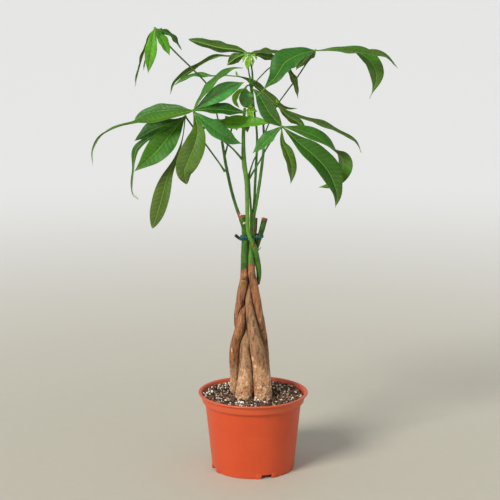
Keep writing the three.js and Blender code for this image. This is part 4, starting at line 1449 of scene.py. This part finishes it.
PEAT = Crumb(0, (0.8, 3.0), (0.5, 1), (0.4, 0.8))
CHIP = Crumb(1, (1.2, 4.2), (0.25, 0.6), (0.2, 0.4))
PERLITE = Crumb(2, (0.6, 2.7), (0.7, 1), (0.6, 0.9), power=1.6)


@dataclass
class PottingMix:
    """The bed of mix, with bark crumbs, chips and white perlite lying on it."""

    pot: NurseryPot
    edge: float = 111.5
    heap: float = 3.5
    gap: float = 0.4
    margin: float = 1.2
    crumbs: int = 3400
    scatter: float = 1.2
    perlite_share: float = 0.18
    perlite_drift: float = 0.05
    chips_up_to: float = 0.4
    buried: float = -1.5
    seed: int = 11
    relief: float = 1.6
    rings: int = 46
    steps: int = 120
    bed_paint: Paint = (0.25, 0.0, 0.0)

    def surface(self, x: float, y: float) -> float:
        """Returns the height of the bed."""
        share = math.hypot(x, y) / self.pot.inner_radius(self.edge)
        rolling = 0.9 * math.sin(0.31 * x + 1.1) * math.sin(0.27 * y)
        rolling += 0.5 * math.sin(0.17 * x - 0.23 * y)
        broken = self.relief * noise.fractal(Vector((x, y, 3)) * 0.16, 0.8, 2.1, 3)
        fade = ease(share, 1.0, 0.9)
        return self.edge + self.heap * (1 - share * share) + fade * (rolling + broken)

    def bed(self, blank: Blank) -> None:
        """Adds the bed: the body that fills the pot."""
        pot = self.pot
        rim = pot.inner_radius(self.edge) - self.gap
        foot = pot.floor + self.gap
        lining = pot.wall + self.gap
        top = [(rim * (1 - i / self.rings), self.edge) for i in range(1, self.rings + 1)]
        side = [
            (0, foot),
            (pot.inner_radius(foot) - 1.8, foot),
            (pot.inner_radius(foot + 3) - self.gap, foot + 3),
            (pot.shoulder_radius - lining, pot.shoulder + pot.inner_step),
            (pot.collar_foot_radius - lining, pot.collar_foot + pot.inner_step + self.gap),
            (rim - self.gap, self.edge),
        ]
        for vert in blank.turned([*side, *top], self.steps):
            if vert.co.z > self.edge - 0.01:
                vert.co.z = self.surface(vert.co.x, vert.co.y)
            vert[blank.paint] = (*self.bed_paint, 1.0)

    def scattered(self, blank: Blank) -> None:
        """Strews the loose grains evenly over the bed, but not inside the trunks."""
        draw = random.Random(self.seed)
        rim = self.pot.inner_radius(self.edge) - self.margin
        feet = [(x, y, radius) for x, y, _, radius in (stations[2] for stations in TRUNKS.values())]
        golden = math.pi * (3 - math.sqrt(5))
        for k in range(self.crumbs):
            radius = rim * math.sqrt((k + 0.5) / self.crumbs)
            x = radius * math.cos(k * golden) + draw.uniform(-self.scatter, self.scatter)
            y = radius * math.sin(k * golden) + draw.uniform(-self.scatter, self.scatter)
            kind = draw.random()
            free = min(math.hypot(x - a, y - b) - r for a, b, r in feet)
            if free < self.buried or math.hypot(x, y) > rim:
                continue
            if kind < self.perlite_share - self.perlite_drift * x / rim:
                crumb = PERLITE
            else:
                crumb = CHIP if kind < self.chips_up_to else PEAT
            shape = crumb.drawn(draw)
            lift = shape.z * draw.uniform(0.0, 1.0)
            place = Vector((x, y, self.surface(x, y) + lift))
            blank.grain(place, shape, draw, (draw.random(), 0, 0), crumb.material)

    def build(self, *finishes: bpy.types.Material) -> bpy.types.Object:
        """Builds the bed and what lies on it.

        Args:
            finishes: those of the peat, the bark chips and the perlite.

        Returns:
            The piece.
        """
        blank = Blank()
        self.bed(blank)
        self.scattered(blank)
        return blank.finished("potting_mix_bed", finishes, "potting_mix")


# ---------------------------------------------------------------- trunks and shoots


class Pressed:
    """Tells how closely a point is pressed against the limbs beside it."""

    FAR = 2.6
    CLOSE = 0.3
    MARKS = 160

    def __init__(self, name: str) -> None:
        """Marks the middle lines of every limb but the named one and what it is joined to.

        Args:
            name: the trunk or shoot whose surface is asked about.
        """
        apart = {name, GROWS_FROM.get(name, name)}
        apart |= {top for top, wood in GROWS_FROM.items() if wood == name}
        limbs = {key: (stations,) for key, stations in TRUNKS.items()} | SHOOTS
        self.radii: list[float] = []
        places = []
        for key, parts in limbs.items():
            for stations in () if key in apart else parts[:1]:
                curve = Spline(stations)
                for i in range(self.MARKS + 1):
                    places.append(curve.at(i / self.MARKS))
                    self.radii.append(radius_at(stations, i / self.MARKS))
        self.tree = kdtree.KDTree(len(places))
        for index, place in enumerate(places):
            self.tree.insert(place, index)
        self.tree.balance()

    def at(self, point: Vector) -> float:
        """Returns 1 where the point touches another limb, 0 where it is free."""
        _, index, distance = self.tree.find(point)
        return ease(distance - self.radii[index], self.FAR, self.CLOSE)


@dataclass
class Trunk:
    """One woody trunk: bark with ridges and cracks, flaky near the mix, green just under its top."""

    name: str
    stations: Stations
    flaky: float
    warmth: float
    sides: int = 72
    step: float = 0.95
    flaky_below: float = 122
    smooth_above: float = 190
    lump: float = 0.5
    ridge: float = 0.34
    thread: float = 0.12
    plate: float = 0.75
    crust: float = 0.7
    crease: float = 1.1

    def height(self, point: Vector, along: float) -> float:
        """Returns how far the bark stands out, in millimetres."""
        burl = BURL_RISE * ease((point - BURL).length, BURL_RADIUS, 0.0)
        return self.bark(point) + burl

    def bark(self, point: Vector) -> float:
        """Returns how far the bark's own ridges and flakes stand out."""
        x, y, z = point
        seed = 7.3 * len(self.name)
        lumps = self.lump * noise.noise(point * 0.05 + Vector((seed, 0, 0)))
        ridges = self.ridge * noise.noise(Vector((x * 0.38, y * 0.38, z * 0.045 + seed)))
        threads = self.thread * noise.noise(Vector((x * 1.2, y * 1.2, z * 0.3)))
        near, next_near = noise.voronoi(Vector((x, y, z * 0.6)) * 0.17)[0][:2]
        plates = self.plate * (ease(next_near - near, 0.05, 0.4) - 0.5)
        crust = plates + self.crust * noise.noise(point * 0.42)
        crease = self.crease * CREASE.share(point)
        return lumps + ridges + threads + self.roughness(point) * crust - crease

    def roughness(self, point: Vector) -> float:
        """Returns how flaky the bark is at a point, from 0 to 1."""
        return self.flaky * ease(point.z, self.smooth_above, self.flaky_below)

    def painted(self, point: Vector, along: float) -> Paint:
        """Returns the bark's paint: green, flaky, and its relief as a share."""
        green = 0.9 * GREEN_PATCH.share(point)
        # The third share is the relief, which the bark finish paints darker in valleys as shade and paler
        # on crests as highlight.
        return green, 0.1 + 0.9 * self.roughness(point), 0.5 + 0.45 * self.bark(point)

    def peeled(self, point: Vector) -> float:
        """Returns how bare a point is, from 0 to 1."""
        return max((peel.share(point, 0.7) for peel in PEELS.get(self.name, ())), default=0.0)

    def build(self, finish: bpy.types.Material) -> bpy.types.Object:
        """Builds the trunk with its finish."""
        blank = Blank("warmth", "crevice", "peel")
        pressed = Pressed(self.name)
        verts = blank.sweep(self.stations, self.sides, self.step, relief=self.height, painter=self.painted)
        for vert in verts:
            vert[blank.measures["warmth"]] = self.warmth
            # Where the trunk presses against another limb, the bark finish paints shade.
            vert[blank.measures["crevice"]] = pressed.at(vert.co)
            vert[blank.measures["peel"]] = self.peeled(vert.co)
        return blank.finished(f"{self.name}_bark", [finish], self.name)


@dataclass
class Shoot:
    """A green top and what grows from it: ringed stems with corky scars."""

    name: str
    limbs: tuple[Stations, ...]
    pale: float = 0.0
    dusky: float = 0.0
    pale_from: float = 0.0
    slot: str = "young_wood"
    sides: int = 28
    step: float = 0.9
    ring_every: float = 31
    ring_rise: float = 0.14
    ring_pale: float = 0.12
    groove: float = 0.12
    lump: float = 0.16
    cork_rise: float = 0.3
    root: float = 2.0
    pressed: Pressed = field(init=False)

    def __post_init__(self) -> None:
        """Marks the limbs that this one may be pressed against."""
        self.pressed = Pressed(self.name)

    def ring(self, along: float, width: float) -> float:
        """Returns 1 on a ring of the stem and 0 beyond its width, in millimetres."""
        return math.exp(-((along % self.ring_every - self.ring_every / 2) / width) ** 2)

    def height(self, point: Vector, along: float) -> float:
        """Returns how far the surface stands out, in millimetres."""
        grooves = self.groove * noise.noise(Vector((point.x * 1.1, point.y * 1.1, point.z * 0.06)))
        lumps = self.lump * noise.noise(point * 0.16)
        cork = self.cork_rise * self.corky(point) * noise.noise(point * 0.9)
        return grooves + lumps + self.ring_rise * self.ring(along, 1.1) + cork

    def corky(self, point: Vector) -> float:
        """Returns how corky the surface is at a point."""
        if self.slot == "dead_wood":
            return 1.0
        scars = ((Vector(place), radius) for *place, radius in SCARS[self.name])
        return max(ease((point - place).length, radius, radius / 2) for place, radius in scars)

    def painted(self, point: Vector, along: float) -> Paint:
        """Returns the stem's paint: pale, corky and dusky."""
        mottled = self.dusky * (0.5 + 0.5 * noise.noise(point * 0.35))
        pale = self.pale * ease(point.z, self.pale_from, self.pale_from + 25)
        pale += self.ring_pale * self.ring(along, 0.9)
        # The third share takes painted shade where the stem presses against another limb.
        return pale, self.corky(point), max(mottled, 0.8 * self.pressed.at(point))

    def rooted(self, limb: Stations) -> Stations:
        """Returns the limb with its foot let into the wood under it."""
        foot, above = Vector(limb[0][:3]), Vector(limb[1][:3])
        heel = foot + (foot - above).normalized() * self.root
        return ((*heel, limb[0][3] * 0.93), *limb)

    def build(self, finish: bpy.types.Material) -> bpy.types.Object:
        """Builds the growth with its finish."""
        blank = Blank()
        for limb in (self.rooted(self.limbs[0]), *self.limbs[1:]):
            blank.sweep(limb, self.sides, self.step, relief=self.height, painter=self.painted, dome=0.12)
        for *place, radius in KNOBS.get(self.name, ()):
            blank.ball(place, radius, (0.8, 1.0, 0.0), squash=0.8, lumps=0.35)
        if self.name in SPINES:
            blank.sweep(SPINES[self.name], 8, 0.5, painter=even((0.0, 0.0, 1.0)))
        return blank.finished(f"{self.name}_stem", [finish], self.name)


@dataclass
class TwistTie:
    """The teal ribbon round the green stems, knotted at the left, with one black end."""

    half_height: float = 1.7
    flat: float = 0.32
    black: float = 7.8
    swell: float = 1.3
    loop: tuple[Point, ...] = (
        (-26.5, -11.5, 359.5), (-22, -11, 355.5), (-18, -10.4, 352.6), (-14.4, -9.4, 354), (-9, -8, 355),
        (-3, -5.2, 355.4), (3, -4.6, 355.2), (9, -3, 354.6), (13.6, -0.6, 354.4), (14.6, 4.6, 354.8),
        (10, 10.4, 355.4), (3, 13.8, 355.8), (-5, 12, 355.8), (-13, 6, 355.6), (-18.4, 0, 355.4),
        (-18.2, -6, 355.2), (-14.6, -9.2, 355),
    )
    knots: tuple[Station, ...] = ((-15.4, -9.8, 355.6, 2.5), (-10.6, -9, 355, 1.9))
    coil_turns: int = 3
    coil_length: float = 4.2
    coil_wire: float = 0.85
    coil_marks: int = 24

    def wire(self, point: Vector, along: float) -> float:
        """Returns how far the ribbon stands out over its wire and its crimps."""
        nearest = min(self.loop, key=lambda place: (Vector(place) - point).length_squared)
        level = abs(point.z - nearest[2])
        return 0.35 * ease(level, 0.8, 0.1) + 0.12 * math.sin(along * 1.9)

    def painted(self, point: Vector, along: float) -> Paint:
        """Returns the ribbon's paint: black at its free end."""
        return ease(along, self.black + 1, self.black - 1), 0.0, 0.0

    def coil(self, x: float, y: float, z: float, radius: float) -> Stations:
        """Returns the wire of a knot, wound round a place."""
        turns = [(k / self.coil_marks, k / self.coil_marks * self.coil_turns * math.tau)
                 for k in range(self.coil_marks + 1)]
        return tuple(
            (x + (share - 0.5) * self.coil_length, y + radius * 0.8 * math.cos(turn),
             z + radius * 0.9 * math.sin(turn), self.coil_wire)
            for share, turn in turns
        )

    def build(self, finish: bpy.types.Material) -> bpy.types.Object:
        """Builds the tie with its finish."""
        blank = Blank()
        swells = (self.swell, self.swell, *[1.0] * (len(self.loop) - 2))
        stations = tuple((*place, self.half_height * swell) for place, swell in zip(self.loop, swells))
        blank.sweep(stations, 24, 0.6, relief=self.wire, painter=self.painted, flat=self.flat,
                    upright=Vector(UP))
        for knot in self.knots:
            blank.sweep(self.coil(*knot), 10, 0.4, painter=even((0.0, 0.0, 0.0)),
                        upright=Vector((1, 0, 0)))
        return blank.finished("twist_tie_ribbon", [finish], "twist_tie")


# ---------------------------------------------------------------- leaves


class Skin(IntEnum):
    """The index of each of a leaf's finishes."""

    UPPER = 0
    UNDER = 1
    STEM = 2
    YOUNG = 3


@dataclass
class CompoundLeaf:
    """A petiole, the swelling at its top, and a palm of blades with quilted sides and a midrib."""

    name: str
    plan: LeafPlan
    slot: str = "leaf"
    columns: int = 26
    row: float = 1.25
    thickness: float = 0.5
    base_power: float = 1.1
    least_at_hub: float = 0.7
    least_at_tip: float = 0.25
    hinge: float = 0.012
    vein_every: float = 7.2
    vein_lean: float = 0.75
    quilt: float = 0.45
    crown: float = 0.045
    groove: float = 0.4
    groove_half: float = 0.8
    waves: float = 19
    wave_shift: float = 2.4
    wave_skew: float = 1.6
    rib_parts: int = 12
    rib_radius: tuple[float, float] = (0.85, 0.3)
    rib_proud: float = 0.25
    joint: float = 4.0

    @dataclass(frozen=True)
    class Row:
        """The blade's frame and size at one place along its midrib."""

        middle: Vector
        side: Vector
        normal: Vector
        half: float
        share: float
        along: float

    def rows(self, leaflet: Leaflet, hub: Point) -> list[Row]:
        """Returns the rows of a blade, from the hub to its tip."""
        curve = Spline([hub, *leaflet.rib])
        faces = leaflet.face if isinstance(leaflet.face[0], tuple) else (leaflet.face, leaflet.face)
        start, end = (Vector(face).normalized() for face in faces)
        shape = math.log(0.5) / math.log(leaflet.widest)
        count = max(16, round(curve.length / self.row))
        rows = []
        for k in range(count + 1):
            share = k / count
            t = curve.by_length(share)
            tangent = curve.heading(t)
            looks = start.lerp(end, share)
            normal = (looks - tangent * looks.dot(tangent)).normalized()
            power = self.base_power if share < leaflet.widest else leaflet.drip
            taper = max(math.sin(math.pi * share**shape), 0.0) ** power
            least = self.least_at_hub if share < 0.5 else self.least_at_tip
            half = max(leaflet.width / 2 * taper, least)
            along = share * curve.length
            rows.append(self.Row(curve.at(t), tangent.cross(normal), normal, half, share, along))
        return rows

    def lift(self, row: Row, across: float, leaflet: Leaflet, order: int) -> tuple[float, float]:
        """Returns how far a point of the blade stands off its plane, and its place between side veins.

        Args:
            row: the row that it is in.
            across: where it is across, from -1 to 1.
            leaflet: the blade's plan.
            order: the blade's number in its leaf.

        Returns:
            The lift and the place.
        """
        out = abs(across)
        least = math.sqrt(self.hinge)
        soft = (math.sqrt(out * out + self.hinge) - least) / (math.sqrt(1 + self.hinge) - least)
        fold = row.half * math.sin(math.radians(leaflet.fold)) * soft
        phase = self.waves * row.share + self.wave_shift * order + self.wave_skew * across
        ripple = leaflet.wave * math.sin(math.pi * row.share) * math.sin(phase) * out**1.4
        vein = (row.along - out * row.half * self.vein_lean * (1 - 0.25 * out)) / self.vein_every
        size = min(1.0, row.half / 9)
        panel = abs(math.sin(math.pi * vein)) ** 0.75
        quilt = self.quilt * size * panel * min(1.0, out * 5) * (1 - out**5)
        crown = self.crown * row.half * math.sin(math.pi * out)
        groove = self.groove * size * math.exp(-((out * row.half / self.groove_half) ** 2))
        return fold + ripple + quilt + crown - groove, vein

    def add_blade(self, blank: Blank, leaflet: Leaflet, order: int) -> None:
        """Adds one blade: a grid bent along its midrib, then given its thickness."""
        rows = self.rows(leaflet, self.plan.petiole[-1])
        last = len(rows) - 1
        made = bmesh.ops.create_grid(blank.bm, x_segments=self.columns, y_segments=last, size=1,
                                     calc_uvs=True)
        spread = math.cos(math.radians(leaflet.fold))
        for vert in made["verts"]:
            row = rows[round((vert.co.y + 1) / 2 * last)]
            across = math.copysign(abs(vert.co.x) ** 1.25, vert.co.x)
            rise, vein = self.lift(row, across, leaflet, order)
            vert.co = row.middle + row.side * (across * row.half * spread) + row.normal * rise
            vert[blank.measures["vein"]] = vein
            vert[blank.measures["rib"]] = across * row.half
            vert[blank.measures["edge"]] = abs(across)
            vert[blank.paint] = (*leaflet.tone.value, 1.0)
        faces = faces_round(made["verts"])
        young = leaflet.tone is Tone.YOUNG
        dress(faces, Skin.YOUNG if young else Skin.UPPER)
        shell = bmesh.ops.solidify(blank.bm, geom=faces, thickness=self.thickness)["geom"]
        inner = [part for part in shell if isinstance(part, bmesh.types.BMFace)]
        dress(inner, Skin.YOUNG if young else Skin.UNDER)
        self.add_rib(blank, rows)

    def add_rib(self, blank: Blank, rows: list[Row]) -> None:
        """Adds the raised midrib under a blade."""
        sunk = self.thickness + self.rib_proud
        stations = tuple(
            (*(row.middle - row.normal * sunk), blend(*self.rib_radius, row.share))
            for row in rows[:: max(1, len(rows) // self.rib_parts)]
        )
        blank.sweep(stations, 8, 2.4, painter=even((0.55, 0.0, 0.0)), material=Skin.STEM)

    def add_petiole(self, blank: Blank) -> None:
        """Adds the stalk, swollen at its foot and under the hub, and the hub."""
        foot, *rest = self.plan.petiole
        radius = self.plan.radius
        length = Spline(self.plan.petiole).length

        def swelling(point: Vector, along: float) -> float:
            """Returns how far the stalk swells at its two joints."""
            near_hub = math.exp(-(((length - along) / self.joint) ** 2))
            near_foot = math.exp(-((along / self.joint) ** 2))
            return radius * (0.4 * near_hub + 0.3 * near_foot)

        def painted(point: Vector, along: float) -> Paint:
            """Returns the stalk's paint: paler under the hub and duskier in between."""
            dusky = 0.55 * ease(along, length * 0.1, length * 0.5)
            return 0.5 * ease(along, length - 9, length), 0.0, dusky

        stations = ((*foot, radius * 1.4), *((*place, radius) for place in rest))
        blank.sweep(stations, 16, 1.2, relief=swelling, painter=painted, material=Skin.STEM)
        blank.ball(rest[-1], self.plan.hub * 0.92, (0.6, 0.0, 0.0), material=Skin.STEM, squash=0.85,
                   lumps=0.3)

    def build(self, finishes: Sequence[bpy.types.Material]) -> bpy.types.Object:
        """Builds the leaf.

        Args:
            finishes: its finishes, in the order of Skin.

        Returns:
            The piece.
        """
        blank = Blank("vein", "rib", "edge")
        for order, leaflet in enumerate(self.plan.leaflets):
            self.add_blade(blank, leaflet, order)
        self.add_petiole(blank)
        return blank.finished(f"{self.name}_blades", finishes, self.name)


# ---------------------------------------------------------------- the tree and its stage


@dataclass
class MoneyTree:
    """The whole plant in its pot.

    `hues` holds how pale and how dusky each green top is, and from what height it is pale. `barks` holds
    how flaky and how warm each trunk is.
    """

    hues: dict[str, tuple[float, ...]] = field(default_factory=lambda: {
        "shoot_left": (0.04, 0.9),
        "shoot_front": (0.34, 0.2, 325),
        "shoot_centre": (0.14, 0.4),
        "cut_stub": (0.0, 1.3),
    })
    barks: dict[str, tuple[float, float]] = field(default_factory=lambda: {
        "trunk_front_right": (1.0, -0.08),
        "trunk_front_left": (0.85, -0.1),
        "trunk_left": (0.55, 0.12),
        "trunk_back": (0.5, 0.15),
        "trunk_right": (0.6, 0.1),
    })

    def build(self) -> None:
        """Builds and dresses every piece."""
        pot = NurseryPot()
        pot.build(PotPlastic().make())
        PottingMix(pot).build(
            Grit("peat", srgb(38, 25, 17), srgb(112, 80, 56)).make(),
            Grit("bark_chip", srgb(100, 68, 44), srgb(190, 150, 108)).make(),
            Grit("perlite", srgb(222, 212, 190), srgb(254, 250, 240), rough=0.8).make(),
        )
        bark = Bark().make()
        for name, stations in TRUNKS.items():
            Trunk(name, stations, *self.barks[name]).build(bark)
        stem = Stem().make()
        dead = DeadWood().make()
        for name, limbs in SHOOTS.items():
            if name == "dry_stub":
                Shoot(name, limbs, slot="dead_wood").build(dead)
            else:
                Shoot(name, limbs, *self.hues[name]).build(stem)
        TwistTie().build(TiePlastic().make())
        skins = [LEAF_UPPER.make(), LEAF_UNDER.make(), stem, LEAF_YOUNG.make()]
        for name, plan in LEAVES.items():
            slot = "young_leaf" if name.startswith("young") else "leaf"
            CompoundLeaf(name, plan, slot).build(skins)


@dataclass(frozen=True)
class Light:
    """A soft light: its name, place, power and tint."""

    name: str
    place: Point
    power: float
    tint: Paint

    def hang(self, data: bpy.types.Light, target: Point) -> None:
        """Hangs the light in its place.

        Args:
            data: the lamp, already given its size.
            target: where it points.
        """
        data.energy = self.power
        data.color = self.tint
        lamp = linked(self.name, data)
        lamp.location = self.place
        lamp.rotation_euler = (Vector(target) - Vector(self.place)).to_track_quat("-Z", "Y").to_euler()


@dataclass
class Studio:
    """A plain pale floor, soft light from the upper left and the camera at the photograph's angle.

    The window is a far, broad light, even over the whole floor. The sky is the light from all around.
    """

    camera_place: Point = (-0.0047, -2.1777, 0.7659)
    camera_drop: float = 11.2
    lens: float = 108
    sensor: float = 36
    window: Light = Light("window", (-1.35, -1.55, 1.45), 2.75, (1.0, 0.985, 0.95))
    window_softness: float = 22
    fill: Light = Light("fill", (1.6, -1.9, 0.9), 3, (0.97, 0.98, 1.0))
    fill_size: float = 1.8
    fill_target: Point = (0, 0, 0.35)
    floor_half: float = 60.0
    floor_near: tuple[Rgba, Rgba] = (srgb(194, 189, 171), srgb(196, 191, 174))
    floor_far: Rgba = srgb(238, 238, 236)
    floor_fade: tuple[float, float] = (0.15, 3.0)
    sky_colour: Rgba = (0.93, 0.95, 1.0, 1)
    sky_strength: float = 0.49
    haze: tuple[float, float] = (0.02, 0.16)
    haze_colour: Rgba = (1.66, 1.67, 1.66, 1)

    def floor(self) -> None:
        """Adds the floor, which grows paler away from the pot."""
        bm = bmesh.new()
        bmesh.ops.create_grid(bm, x_segments=1, y_segments=1, size=self.floor_half)
        mesh = mesh_from(bm, "floor")
        g = Graph("pale_floor")
        own = g.place()
        grain = g.noise(own, 60, 4)
        colour = g.mix(g.span(grain, 0.3, 0.7), *self.floor_near)
        away = g.node("VectorMath", {0: own}, operation="LENGTH").outputs["Value"]
        colour = g.mix(g.span(away, *self.floor_fade), colour, self.floor_far)
        rough = g.span(grain, 0.2, 0.8, 0.6, 0.7)
        mesh.materials.append(g.done(colour, rough, g.bump(grain, 0.0002), Specular_IOR_Level=0.25))
        floor = linked("floor", mesh)

    def lights(self) -> None:
        """Adds the window's light and the weak one that fills its shadows."""
        window = bpy.data.lights.new(self.window.name, "SUN")
        window.angle = math.radians(self.window_softness)
        self.window.hang(window, (0, 0, 0))
        fill = bpy.data.lights.new(self.fill.name, "AREA")
        fill.size = self.fill_size
        self.fill.hang(fill, self.fill_target)

    def sky(self) -> None:
        """Adds the even light from all around, as pale at the horizon as the far floor."""
        g = Graph("studio", world=True)
        way = g.node("TexCoord", {}).outputs["Generated"]
        rise = g.span(g.node("SeparateXYZ", {0: way}).outputs["Z"], *self.haze)
        g.feed(g.surface.inputs["Color"], g.mix(rise, self.haze_colour, self.sky_colour))
        g.surface.inputs["Strength"].default_value = self.sky_strength
        bpy.context.scene.world = g.owner

    def camera(self) -> None:
        """Adds the camera."""
        data = bpy.data.cameras.new("camera")
        data.lens = self.lens
        data.sensor_width = self.sensor
        eye = linked("camera", data)
        eye.location = self.camera_place
        eye.rotation_euler = (math.radians(90 - self.camera_drop), 0, 0)
        bpy.context.scene.camera = eye

    def build(self) -> None:
        """Sets the stage."""
        self.floor()
        self.camera()
        self.lights()
        self.sky()
        bpy.context.scene.view_settings.view_transform = "Standard"


def main() -> None:
    logging.basicConfig(level=logging.INFO, format="%(message)s")
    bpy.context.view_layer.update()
    Studio().build()
    MoneyTree().build()
    bpy.context.view_layer.update()
    log.info("%d nodes dressed", len(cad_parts))


if __name__ == "__main__":
    main()
